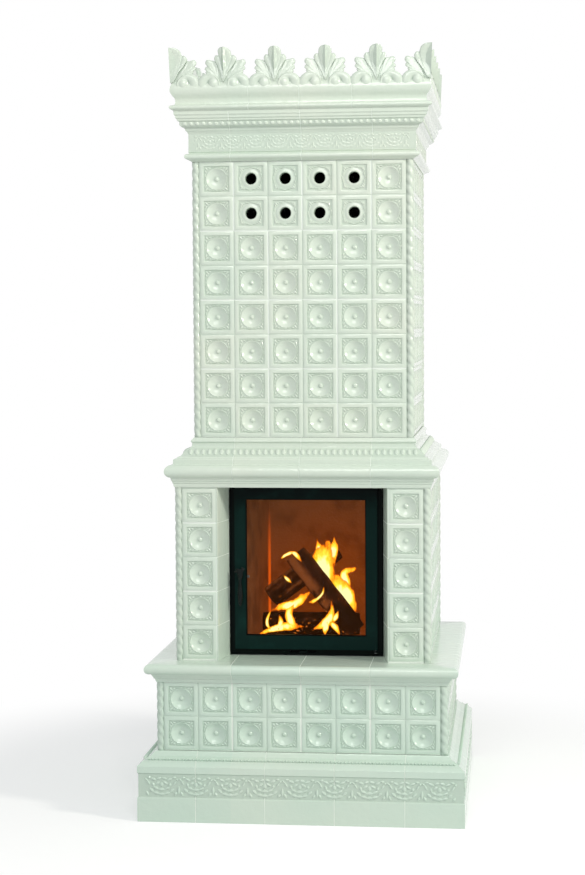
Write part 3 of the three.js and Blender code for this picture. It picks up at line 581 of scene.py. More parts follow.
class Finishes:
    """One material of each kind, made once."""

    def __init__(self) -> None:
        """Makes every material."""
        self.glaze = Glaze().make()
        self.grout = Grout().make()
        self.tiles = [self.glaze, self.grout]
        self.paint = StovePaint().make()
        # the leaf's paler green low down is a painted reflection as well as wear
        green, worn_and_reflected = (0.0012, 0.004, 0.004), (0.005, 0.026, 0.022)
        self.leaf_paint = StovePaint("leaf_paint", green, worn_and_reflected).make()
        self.polished = StovePaint("polished_paint", roughness=0.14, shine=0.16).make()
        self.steel = RawSteel().make()
        self.iron = CastIron().make()
        self.lining = FireLining().make()
        self.block = AeratedBlock().make()
        self.glass = DoorGlass().make()
        self.wood = BurningWood().make()
        self.flame = FlameLight().make()


# ---------------------------------------------------------------- mesh helpers


class Side(Enum):
    """The four sides of the stove, by the quarter turns from the front."""

    FRONT = 0
    RIGHT = 1
    BACK = 2
    LEFT = 3

    @property
    def label(self) -> str:
        """The side's word in node names."""
        return self.name.lower()


def of_kind(items: Iterable[object], kind: type) -> list:
    """The items of one kind among what an operator made."""
    return [item for item in items if isinstance(item, kind)]


def turns(count: int) -> list[float]:
    """Angles of a full turn in equal steps."""
    return [2 * math.pi * i / count for i in range(count)]


class Sculpt:
    """A mesh under construction, in millimetres, with pooled glaze and painted shade at each
    vertex.
    """

    def __init__(self) -> None:
        """Starts an empty mesh."""
        self.bm = bmesh.new()
        self.pool = self.bm.verts.layers.float.new("pool")

    def loft(
        self,
        rings: Sequence[Sequence[Vector]],
        closed: bool = True,
        capped: bool = True,
        pool_and_shade_levels: Sequence[float] | None = None,
        slots: Sequence[int] | None = None,
    ) -> list[bmesh.types.BMVert]:
        """Extrudes a ring of points through a row of places.

        Args:
            rings: The ring at each place, with the same count everywhere.
            closed: Whether each ring closes on itself.
            capped: Whether the first and the last ring are filled.
            pool_and_shade_levels: Depth of pooled glaze and painted shade of each ring.
            slots: Material slot of each stretch between two rings.

        Returns:
            The vertices made.
        """
        pool_and_shade_levels = pool_and_shade_levels or [0.0] * len(rings)
        verts = [self.bm.verts.new(point) for point in rings[0]]
        count = len(verts)
        for vert in verts:
            vert[self.pool] = pool_and_shade_levels[0]
        pairs = count if closed else count - 1
        edges = [self.bm.edges.new((verts[i], verts[(i + 1) % count])) for i in range(pairs)]
        first = list(edges)
        made = list(verts)
        for step, (ring, pool) in enumerate(zip(rings[1:], pool_and_shade_levels[1:], strict=True)):
            grown = bmesh.ops.extrude_edge_only(self.bm, edges=edges)["geom"]
            heads = self._heads(verts, grown)
            for vert, point in zip(heads, ring, strict=True):
                vert.co = point
                vert[self.pool] = pool
            for face in of_kind(grown, bmesh.types.BMFace):
                face.material_index = slots[step] if slots else 0
            edges = [self.bm.edges.get((heads[i], heads[(i + 1) % count])) for i in range(pairs)]
            verts = heads
            made += heads
        if capped and closed:
            for loop in (first, edges):
                bmesh.ops.contextual_create(self.bm, geom=loop)
        return made

    @staticmethod
    def _heads(
        verts: Sequence[bmesh.types.BMVert], grown: Iterable[object]
    ) -> list[bmesh.types.BMVert]:
        """The new vertex that each old one was extruded to."""
        new = set(of_kind(grown, bmesh.types.BMVert))
        return [
            next(e.other_vert(v) for e in v.link_edges if e.other_vert(v) in new) for v in verts
        ]

    def blob(
        self, at: Vector, size: Vector, turn: Matrix | None = None, fine: int = 8
    ) -> list[bmesh.types.BMVert]:
        """Adds an ellipsoid.

        Args:
            at: Its centre.
            size: Its half-lengths.
            turn: Its rotation.
            fine: Segments round it.

        Returns:
            Its vertices.
        """
        shape = Matrix.Translation(at) @ (turn or Matrix.Identity(4)) @ Matrix.Diagonal((*size, 1))
        made = bmesh.ops.create_uvsphere(
            self.bm, u_segments=fine, v_segments=max(4, fine // 2 + 1), radius=1.0, matrix=shape
        )
        for vert in made["verts"]:
            # painted shade, with pooled glaze: darker towards the face behind the blob
            vert[self.pool] = max(0.0, 0.1 + 0.6 * (vert.co.y - at.y) / size.y)
        return made["verts"]

    def leaf(
        self, at: Vector, length: float, width: float, angle: float, rise: float
    ) -> list[bmesh.types.BMVert]:
        """Adds a flat leaf that lies on a front face and narrows to its tips.

        Args:
            at: Its middle.
            length: Tip to tip.
            width: Across its middle.
            angle: Its lie from the horizontal, in degrees.
            rise: How far it stands off the face.

        Returns:
            Its vertices.
        """
        turn = Matrix.Rotation(math.radians(-angle), 4, "Y")
        verts = self.blob(at, Vector((length / 2, rise, width / 2)), turn, 6)
        along = (turn @ Vector((1, 0, 0))).normalized()
        across = (turn @ Vector((0, 0, 1))).normalized()
        for vert in verts:
            offset = vert.co - at
            share = min(1.0, abs(offset.dot(along)) / (length / 2))
            vert.co -= across * offset.dot(across) * 0.5 * share
            # painted shade, with pooled glaze: darker towards the face under the leaf
            vert[self.pool] = max(0.0, 0.3 + 0.7 * offset.y / rise)
        return verts

    def shape(self) -> bpy.types.Mesh:
        """Ends the sculpt as a loose mesh that others are stamped with."""
        mesh = bpy.data.meshes.new("stamp")
        self.bm.to_mesh(mesh)
        self.bm.free()
        return mesh

    def stamp(self, source: bpy.types.Mesh, at: Matrix | None = None) -> None:
        """Adds a copy of a mesh.

        Args:
            source: What is copied.
            at: Where the copy goes.
        """
        at = at or Matrix.Identity(4)
        source.transform(at)
        self.bm.from_mesh(source)
        source.transform(at.inverted())

    def merge(self, distance: float = 0.01) -> None:
        """Joins vertices that lie together."""
        bmesh.ops.remove_doubles(self.bm, verts=self.bm.verts, dist=distance)

    def recalculate(self) -> None:
        """Turns every face outwards."""
        bmesh.ops.recalc_face_normals(self.bm, faces=self.bm.faces)

    def turn(self, side: Side) -> None:
        """Turns a front piece to its side."""
        turn = Matrix.Rotation(side.value * math.pi / 2, 3, "Z")
        bmesh.ops.rotate(self.bm, verts=self.bm.verts, cent=(0, 0, 0), matrix=turn)

    def place(
        self,
        name: str,
        materials: Sequence[bpy.types.Material],
        body: str = "stove",
        slot: str = "glaze",
        sharp: float = 38.0,
        replaces: Sequence[str] = (),
    ) -> None:
        """Ends the mesh as a piece of the stove.

        Args:
            name: The piece's name.
            materials: Its materials, in slot order.
            body: The body it rides on.
            slot: The record's material slot; not used.
            sharp: Edges sharper than this stay creased, in degrees.
            replaces: The nodes it stands for.
        """
        limit = math.radians(sharp)
        for face in self.bm.faces:
            face.smooth = True
        for edge in self.bm.edges:
            edge.smooth = len(edge.link_faces) == 2 and edge.calc_face_angle(0.0) < limit
        bmesh.ops.scale(self.bm, vec=(MM, MM, MM), verts=self.bm.verts)
        mesh = bpy.data.meshes.new(name)
        self.bm.to_mesh(mesh)
        self.bm.free()
        for material in materials:
            mesh.materials.append(material)
        made = bpy.data.objects.new(name, mesh)
        bpy.context.scene.collection.objects.link(made)
        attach(made, body)
        if replaces:
            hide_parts(*replaces)
        LOG.info("%s: %d faces", name, len(mesh.polygons))


def arc(x: float, z: float, radius: float, start: float, end: float, steps: int) -> list[Point]:
    """Points of an arc.

    Args:
        x: Centre across.
        z: Centre up.
        radius: Its radius.
        start: First angle, in degrees.
        end: Last angle, in degrees.
        steps: Stretches between the points.

    Returns:
        The points.
    """
    angles = [math.radians(start + (end - start) * i / steps) for i in range(steps + 1)]
    return [(x + radius * math.cos(a), z + radius * math.sin(a)) for a in angles]


def inset_profile(profile: Sequence[Point], depth: float) -> list[Point]:
    """Moves an anticlockwise profile inwards.

    Args:
        profile: Its points.
        depth: How far.

    Returns:
        The moved points.
    """
    count = len(profile)
    moved = []
    for i, (x, z) in enumerate(profile):
        (ax, az), (bx, bz) = profile[i - 1], profile[(i + 1) % count]
        along = Vector((bx - ax, bz - az))
        along.normalize()
        moved.append((x - along.y * depth, z + along.x * depth))
    return moved


def raised(profile: Sequence[Point], out: float, up: float) -> list[Point]:
    """A profile drawn from a storey's lower edge, moved to its place.

    Args:
        profile: Its points.
        out: The storey's half-width.
        up: The height of the edge.

    Returns:
        The moved points.
    """
    return [(out + x, up + z) for x, z in profile]


# ---------------------------------------------------------------- tiled walls


@dataclass
class Storey:
    """A storey of bowl tiles: its size, and the columns that its upright joints stand before."""

    name: str
    bowls: int
    rows: int
    low: float
    high: float
    joints_lower: tuple[int, ...]
    joints_upper: tuple[int, ...]
    upper_rows: int = 2
    vents: bool = False
    setback: float = 3.0

    @property
    def half(self) -> float:
        """Half of the storey's width, ropes included."""
        return half_of(self.bowls)

    @property
    def face(self) -> float:
        """Distance of the tile face from the axis."""
        return self.half - self.setback

    @property
    def left(self) -> float:
        """Where the first column starts."""
        return -self.bowls * BOWL / 2

    @property
    def margin(self) -> float:
        """Bedding joint under the lowest row."""
        return (self.high - self.low - self.rows * BOWL) / 2


@dataclass
class BowlCell:
    """One bowl of a tile: frame, sunk square, leaf corners, dish and boss.

    The rings of dish, hole and frame give a radius, a depth behind the face and a depth of pooled
    glaze and painted shade.
    """

    segments: int = 16
    dish: tuple[Triple, ...] = (
        (2.2, 8.4, 0.0),
        (5.4, 9.8, 0.15),
        (7.8, 13.4, 0.3),
        (14.0, 13.0, 0.08),
        (20.0, 11.2, 0.03),
        (26.0, 8.4, 0.0),
        (30.8, 5.4, 0.0),
        (33.2, 2.8, 0.0),
        (34.8, 2.2, 0.0),
        (36.2, 3.9, 0.3),
    )
    hole: tuple[Triple, ...] = (
        (18.9, 40.0, 1.0),
        (18.9, 4.4, 0.5),
        (20.3, 2.6, 0.0),
        (26.0, 2.2, 0.0),
        (29.0, 3.9, 0.35),
        (33.0, 4.2, 0.2),
    )
    frame: tuple[Triple, ...] = (
        (40.0, 4.0, 0.34),
        (41.6, 0.6, 0.04),
        (43.0, 0.0, 0.0),
        (BOWL / 2 - 2.8, 0.0, 0.0),
        (BOWL / 2, 1.9, 0.5),
    )
    grout: float = 1.9
    leaf_reach: float = 33.4
    vent_leaf_reach: float = 30.0

    def build(self, hole: bool, joints: frozenset[str]) -> bpy.types.Mesh:
        """Builds one bowl about the origin, its face on the plane of X and Z.

        Args:
            hole: Whether the bowl is a vent.
            joints: Which of the cell's edges, of left, right, down and up, lie on a joint.

        Returns:
            The bowl's mesh.
        """
        sculpt = Sculpt()
        rounds = self.hole if hole else self.dish
        rings = [self._ring(radius, depth, square=False) for radius, depth, _ in rounds]
        rings += [self._ring(radius, depth, square=True) for radius, depth, _ in self.frame]
        pool_and_shade_levels = [pool for _, _, pool in (*rounds, *self.frame)]
        made = sculpt.loft(rings, capped=False, pool_and_shade_levels=pool_and_shade_levels)
        if not hole:
            bmesh.ops.contextual_create(sculpt.bm, geom=made[: self.segments])
        self._leaf_corners(sculpt, self.vent_leaf_reach if hole else self.leaf_reach)
        for face in sculpt.bm.faces:
            face.material_index = self._slot(face, joints)
        return sculpt.shape()

    def _ring(self, radius: float, depth: float, square: bool) -> list[Vector]:
        """A round or square ring of points at a depth behind the face."""
        points = []
        for angle in turns(self.segments):
            across, up = math.cos(angle), math.sin(angle)
            reach = radius / max(abs(across), abs(up)) if square else radius
            points.append(Vector((across * reach, depth, up * reach)))
        return points

    @staticmethod
    def _leaf_corners(sculpt: Sculpt, reach: float) -> None:
        """Adds the lobed leaf in each corner of the sunk square, and one at each mid-edge."""
        lobes = (  # across, up, lie, length and width
            (reach - 1.0, reach - 1.0, 45.0, 15.0, 8.0),
            (reach + 1.5, 23.5, 76.0, 12.0, 6.0),
            (23.5, reach + 1.5, 14.0, 12.0, 6.0),
            (reach + 3.6, 11.5, 90.0, 14.0, 3.6),
            (11.5, reach + 3.6, 0.0, 14.0, 3.6),
        )
        for side in (-1, 1):
            for up in (-1, 1):
                for across, rise, angle, long, wide in lobes:
                    at = Vector((side * across, 3.6, up * rise))
                    sculpt.leaf(at, long, wide, angle * side * up, 3.4)
            sculpt.leaf(Vector((side * 38.0, 3.8, 0)), 15.0, 4.4, 90.0, 2.6)
            sculpt.leaf(Vector((0, 3.8, side * 38.0)), 15.0, 4.4, 0.0, 2.6)

    def _slot(self, face: bmesh.types.BMFace, joints: frozenset[str]) -> int:
        """Gives a face in the groove of a joint the grout's slot."""
        centre = face.calc_center_median()
        if max(abs(centre.x), abs(centre.z)) < BOWL / 2 - self.grout:
            return 0
        if abs(centre.x) > abs(centre.z):
            return int(("right" if centre.x > 0 else "left") in joints)
        return int(("up" if centre.z > 0 else "down") in joints)


@dataclass
class TiledWalls:
    """The bowl tile skins of one storey, with the ropes at its corners."""

    storey: Storey
    nodes: dict[Side, tuple[str, ...]]
    finishes: Finishes
    depth: float = 38.0  # of the skin's turned-back edge
    edge_back: float = 1.2  # from the tile face to the edge
    edge_out: float = 1.5  # past the outer columns, behind the ropes

    def build(self) -> None:
        """Builds each side and each corner rope."""
        for side, nodes in self.nodes.items():
            self.build_side(side, nodes)
        for side in Side:
            self.build_rope(side)

    def build_side(
        self, side: Side, nodes: tuple[str, ...], columns: tuple[int, int] | None = None
    ) -> None:
        """Builds one side's skin, or the columns of it that are named.

        Args:
            side: Which side.
            nodes: The nodes it stands for.
            columns: First and last column, the last not counted.
        """
        storey = self.storey
        first, last = columns or (0, storey.bowls)
        cell = BowlCell()
        cells: dict[tuple[bool, frozenset[str]], bpy.types.Mesh] = {}
        sculpt = Sculpt()
        for row in range(storey.rows):
            upper = row >= storey.rows - storey.upper_rows
            cuts = storey.joints_upper if upper else storey.joints_lower
            for column in range(first, last):
                joints = {"down"} if row % 2 == 0 else {"up"}
                joints |= {"left"} if column in cuts else set()
                joints |= {"right"} if column + 1 in cuts else set()
                hole = storey.vents and upper and side is Side.FRONT
                hole = hole and 0 < column < storey.bowls - 1
                x = storey.left + (column + 0.5) * BOWL
                z = storey.low + storey.margin + (row + 0.5) * BOWL
                kind = (hole, frozenset(joints))
                if kind not in cells:
                    cells[kind] = cell.build(*kind)
                sculpt.stamp(cells[kind], Matrix.Translation((x, -storey.face, z)))
        sculpt.merge()
        self._edges(sculpt, storey.left + first * BOWL, storey.left + last * BOWL)
        sculpt.recalculate()
        sculpt.turn(side)
        sculpt.place(f"{nodes[0]}_tiles", self.finishes.tiles, replaces=nodes)

    def _edges(self, sculpt: Sculpt, left: float, right: float) -> None:
        """Turns the skin's outer edges back, out to the beds above and below."""
        storey = self.storey
        border = [
            edge
            for edge in sculpt.bm.edges
            if edge.is_boundary and all(v.co.y < 3 - storey.face for v in edge.verts)
        ]
        spread = bmesh.ops.extrude_edge_only(sculpt.bm, edges=border)["geom"]
        low, high = storey.low + storey.margin + 1, storey.high - storey.margin - 1
        for vert in of_kind(spread, bmesh.types.BMVert):
            vert.co.y = -storey.face + self.edge_back
            vert.co.z = storey.low if vert.co.z < low else vert.co.z
            vert.co.z = storey.high - GAP if vert.co.z > high else vert.co.z
            vert.co.x -= self.edge_out if vert.co.x < left + 1 else 0
            vert.co.x += self.edge_out if vert.co.x > right - 1 else 0
            vert[sculpt.pool] = 0.1
        rim = [edge for edge in of_kind(spread, bmesh.types.BMEdge) if edge.is_boundary]
        back = bmesh.ops.extrude_edge_only(sculpt.bm, edges=rim)["geom"]
        verts = of_kind(back, bmesh.types.BMVert)
        bmesh.ops.translate(sculpt.bm, verts=verts, vec=(0, self.depth, 0))

    def build_rope(self, side: Side) -> None:
        """Builds the twisted rope at the corner to the right of a side."""
        storey = self.storey
        first = storey.low + storey.margin
        joints = tuple(first + row * BOWL for row in range(0, storey.rows + 1, 2))
        rope = CornerRope(storey.half - ROPE / 2, storey.low, storey.high - GAP, joints)
        rope.build(side, f"{storey.name}_rope_{side.label}", self.finishes)


@dataclass
class CornerRope:
    """A two-strand rope moulding that stands at a corner, pinched a little at each joint."""

    axis: float
    low: float
    high: float
    joints: tuple[float, ...]
    radius: float = ROPE * 0.55
    pitch: float = 63.7
    step: float = 5.0
    segments: int = 14
    pinch: float = 0.93  # its share of the radius at a joint
    waist: float = 0.79  # its share of the radius between the strands

    def build(self, side: Side, name: str, finishes: Finishes) -> None:
        """Builds the rope.

        Args:
            side: The side to whose right it stands.
            name: The piece's name.
            finishes: The materials.
        """
        sculpt = Sculpt()
        count = round((self.high - self.low) / self.step)
        rings, pool_and_shade_levels = [], []
        for i in range(count + 1):
            up = self.low + (self.high - self.low) * i / count
            seam = any(abs(up - joint) < self.step / 2 for joint in self.joints)
            rings.append(self._ring(up, self.pinch if seam else 1.0))
            pool_and_shade_levels.append(0.5 if seam else 0.0)
        made = sculpt.loft(rings, pool_and_shade_levels=pool_and_shade_levels)
        # painted shade, with pooled glaze, in the crease between the strands
        for vert in made:
            reach = math.hypot(vert.co.x - self.axis, vert.co.y + self.axis)
            deep = max(0.0, 1 - reach / self.radius) * 2.8
            vert[sculpt.pool] = min(1.0, max(vert[sculpt.pool], deep))
        sculpt.recalculate()
        sculpt.turn(side)
        sculpt.place(name, [finishes.glaze], sharp=70)

    def _ring(self, up: float, scale: float) -> list[Vector]:
        """The rope's section at a height."""
        twist = -2 * math.pi * up / self.pitch
        points = []
        for angle in turns(self.segments):
            swell = self.waist + (1 - self.waist) * abs(math.cos(angle)) ** 0.8
            reach = self.radius * swell * scale
            x = self.axis + reach * math.cos(angle + twist)
            y = -self.axis + reach * math.sin(angle + twist)
            points.append(Vector((x, y, up)))
        return points


# ---------------------------------------------------------------- moulded courses


@dataclass
class Leaf:
    """A leaf of a relief band: its middle, its length and width, and its lie in degrees."""

    x: float
    z: float
    length: float
    width: float
    angle: float = 0.0


@dataclass
class ReliefBand:
    """A repeating leaf relief on an upright band."""

    pitch: float
    low: float
    high: float
    out: float
    leaves: tuple[Leaf, ...]
    rise: float
    drawn_pitch: float = BOWL  # the pitch and height that the leaves are drawn for
    drawn_height: float = 75.0
    longer: float = 1.08  # leaves overlap a little
    wider: float = 1.3
    sunk: float = 0.6

    def add(self, sculpt: Sculpt, half: float) -> None:
        """Adds the relief to a front course.

        Args:
            sculpt: The course's mesh.
            half: How far the band runs to each side of the middle.
        """
        count = math.ceil(half / self.pitch)
        for i in range(-count, count + 1):
            motif = Sculpt()
            for side in (-1, 1):
                self._half_motif(motif, i * self.pitch, side, half)
            sculpt.stamp(motif.shape())

    def _half_motif(self, motif: Sculpt, middle: float, side: int, half: float) -> None:
        """Adds the leaves on one side of a repeat that fit on the band."""
        share = (self.high - self.low) / self.drawn_height
        for leaf in self.leaves:
            x = middle + leaf.x * side * self.pitch / self.drawn_pitch
            if abs(x) > half - leaf.length * 0.4 or (leaf.x == 0 and side < 0):
                continue
            middle_z = (self.low + self.high) / 2
            at = Vector((x, self.sunk - self.out, middle_z + leaf.z * share))
            size = (leaf.length * share * self.longer, leaf.width * share * self.wider)
            motif.leaf(at, *size, leaf.angle * side, self.rise)


# The right half of one repeat, from the middle of the band.
SWAG = (
    Leaf(0, -27, 24, 9),
    Leaf(17, -24, 22, 9, 14),
    Leaf(33, -15, 20, 9, 42),
    Leaf(0, -12, 26, 9),
    Leaf(18, -8, 20, 8, 24),
    Leaf(0, 4, 15, 13),
    Leaf(13, 9, 18, 8, -30),
    Leaf(27, 3, 15, 8, 70),
    Leaf(9, 24, 18, 8, -14),
    Leaf(26, 21, 20, 8, 22),
    Leaf(41, 27, 15, 7, -8),
    Leaf(43, 10, 18, 7, 60),
    Leaf(46, -26, 17, 8, 62),
    Leaf(55.7, -14, 30, 8, 90),
    Leaf(50, 20, 13, 6, 40),
)


@dataclass
class BeadRow:
    """A row of beads or eggs along a course."""

    pitch: float
    size: Vector
    out: float
    up: float
    tilt: float = 0.0

    def add(self, sculpt: Sculpt, half: float) -> None:
        """Adds the beads to a front course.

        Args:
            sculpt: The course's mesh.
            half: How far the row runs to each side of the middle.
        """
        count = int(2 * half / self.pitch)
        bead = Sculpt()
        turn = Matrix.Rotation(math.radians(self.tilt), 4, "X")
        bead.blob(Vector((0, -self.out, self.up)), self.size, turn, 8)
        shape = bead.shape()
        for i in range(count):
            x = (i - (count - 1) / 2) * self.pitch
            sculpt.stamp(shape, Matrix.Translation((x, 0, 0)))


@dataclass
class Course:
    """A moulded course that runs round the stove, with its beads and relief bands."""

    name: str
    profile: list[Point]
    joints: tuple[float, ...]  # where its upright joints stand, from the middle
    beads: tuple[BeadRow, ...] = ()
    bands: tuple[ReliefBand, ...] = ()
    pooled_and_shaded: tuple[Triple, ...] = ()  # from and to a height, and the depth of pooled glaze and painted shade there
    groove: float = 1.5
    groove_half: float = 1.1
    mitre_gap: float = 0.05
    bead_inset: float = 4.0  # beads and bands end this far from the mitre
    band_inset: float = 12.0

    def build(self, finishes: Finishes) -> None:
        """Builds the course on all four sides."""
        for side in Side:
            sculpt = Sculpt()
            self.run(sculpt)
            for row in self.beads:
                row.add(sculpt, row.out - self.bead_inset)
            for band in self.bands:
                band.add(sculpt, band.out - self.band_inset)
            sculpt.turn(side)
            node = f"{self.name}_{side.label}"
            sculpt.place(f"{node}_tiles", finishes.tiles, sharp=32, replaces=(node,))

    def run(self, sculpt: Sculpt) -> None:
        """Lofts the profile from mitre to mitre, with a groove at each joint."""
        sunk = inset_profile(self.profile, self.groove)
        gap, half = self.mitre_gap, self.groove_half
        rings = [[Vector((-out + gap, -out, up)) for out, up in self.profile]]
        pool_and_shade_levels, slots = [0.0], []
        for joint in self.joints:
            for shift, points in ((-half, self.profile), (0.0, sunk), (half, self.profile)):
                rings.append([Vector((joint + shift, -out, up)) for out, up in points])
            # pooled glaze and painted shade at the joint groove
            pool_and_shade_levels += [0.0, 0.8, 0.0]
            slots += [0, 1, 1]
        rings.append([Vector((out - gap, -out, up)) for out, up in self.profile])
        pool_and_shade_levels.append(0.0)
        slots.append(0)
        for vert in sculpt.loft(rings, pool_and_shade_levels=pool_and_shade_levels, slots=slots):
            for low, high, depth in self.pooled_and_shaded:
                if low < vert.co.z < high:
                    vert[sculpt.pool] = depth
        sculpt.recalculate()


@dataclass
class Mouldings:
    """The moulded courses, from the floor up, each drawn from the storey it carries or crowns."""

    bench: float = half_of(BENCH_BOWLS)
    surround: float = half_of(SURROUND_BOWLS)
    tower: float = half_of(TOWER_BOWLS)
    bead_pitch: float = BOWL / 10
    egg_pitch: float = 20.27

    def plinth(self) -> Course:
        """The tall foot with its sunk relief band and sloped bead row."""
        profile = [
            (-110, 0),
            (56, 0),
            (56, 77),
            (52.5, 80.5),
            (52.5, 155),
            (56, 158.5),
            (56, 179),
            (54, 182),
            (46, 187.5),
            (43.5, 191.5),
            (22, 206),
            (18, 206.5),
            (9, 214.5),
            (5, 220.7),
            (-110, 220.7),
        ]
        beads = BeadRow(self.bead_pitch, Vector((4.4, 9.0, 3.6)), self.bench + 34, 198.5, -34)
        band = ReliefBand(BOWL, 80.5, 155.0, self.bench + 52.5, SWAG, 4.6)
        # pooled glaze and painted shade on the sunk band and on the bead slope
        pooled_and_shaded = ((79.0, 157.0, 0.5), (189.0, 205.0, 0.15))
        profile = raised(profile, self.bench, 0)
        return Course("plinth", profile, (-336, -112, 111, 336), (beads,), (band,), pooled_and_shaded)

    def ledge(self) -> Course:
        """The ledge slab with its round nose over a hollow."""
        low, inner = level("ledge_front"), inside("ledge_front")
        nose = [
            (-110, 21.7),
            (-110, 0),
            (0, 0),
            (2.5, 6),
            (3.5, 11),
            (7.5, 13),
            (8.5, 18),
            (12, 22),
            *arc(18, 44.7, 17, -100, 90, 14),
        ]
        nose = raised(nose, self.bench, low)
        return Course("ledge", [(inner, low + 21.7), *nose, (inner, low + 61.7)], (-223, 0, 223))

    def mantel(self) -> Course:
        """The mantel's round nose with the stepped foot of the tower on it."""
        low, inner = level("mantel_front"), inside("mantel_front")
        nose = [
            (0, 0),
            (3, 6),
            (3.5, 12),
            (6, 14),
            (6.5, 19),
            (10, 23),
            (11, 30),
            *arc(9.5, 52.5, 20.5, -78, 90, 14),
        ]
        foot = [
            (61, 74.5),
            (59.5, 76.5),
            (59.5, 90),
            (57, 92.5),
            (50, 93.5),
            (47, 98),
            (42, 99.5),
            (38, 101),
            (30, 110),
            (18, 123),
            (12, 126),
            (7.5, 128),
            (5.5, 135),
            (5.5, 140),
            *arc(3, 147, 6, -80, 80, 7),
            (3, 155),
            (0, 158.7),
            (-45, 158.7),
            (-45, 75),
        ]
        profile = [(inner, low), *raised(nose, self.surround, low)]
        profile += [*raised(foot, self.tower, low), (inner, low + 75)]
        size = Vector((7.6, 6.0, 13.0))
        eggs = BeadRow(self.egg_pitch, size, self.tower + 27, low + 113, -38)
        pooled_and_shaded = ((99.6, 124, 0.3), (129, 137, 0.2), (13, 21, 0.2))
        return Course("mantel", profile, (-223, -7, 223), (eggs,), (), self._lifted(pooled_and_shaded, low))

    def cornice(self) -> Course:
        """The cornice: small torus, relief frieze, bead row and upper steps."""
        low = level("cornice_front")
        profile = [
            (-45, 0),
            (0, 0),
            (5, 4),
            (12, 6.5),
            *arc(13.5, 16, 8, -70, 80, 8),
            (9, 25.5),
            (7, 28),
            (10, 31),
            (8.5, 33),
            (8.5, 88),
            (10, 90),
            (12, 95),
            (17, 99),
            (19, 107),
            (28, 110),
            (32, 114),
            (34, 126),
            (40, 129),
            (41, 134),
            (45, 137),
            (46, 144),
            (49.6, 148),
            (49.6, 158.7),
            (-45, 158.7),
        ]
        size = Vector((7.2, 4.6, 6.4))
        beads = BeadRow(self.egg_pitch, size, self.tower + 32, low + 120)
        band = ReliefBand(74.3, low + 34, low + 88, self.tower + 8.5, SWAG, 2.4)
        pooled_and_shaded = self._lifted(((32, 89, 0.3), (106, 128, 0.3), (27, 30, 0.2)), low)
        profile = raised(profile, self.tower, low)
        return Course("cornice", profile, (-231, -1, 229), (beads,), (band,), pooled_and_shaded)

    @staticmethod
    def _lifted(spans: Sequence[Triple], low: float) -> tuple[Triple, ...]:
        """Spans of pooled glaze and painted shade of a course, moved to its height."""
        return tuple((low + start, low + end, depth) for start, end, depth in spans)

    def build(self, finishes: Finishes) -> None:
        """Builds the four courses."""
        for course in (self.plinth(), self.ledge(), self.mantel(), self.cornice()):
            course.build(finishes)


# ---------------------------------------------------------------- leaf gallery


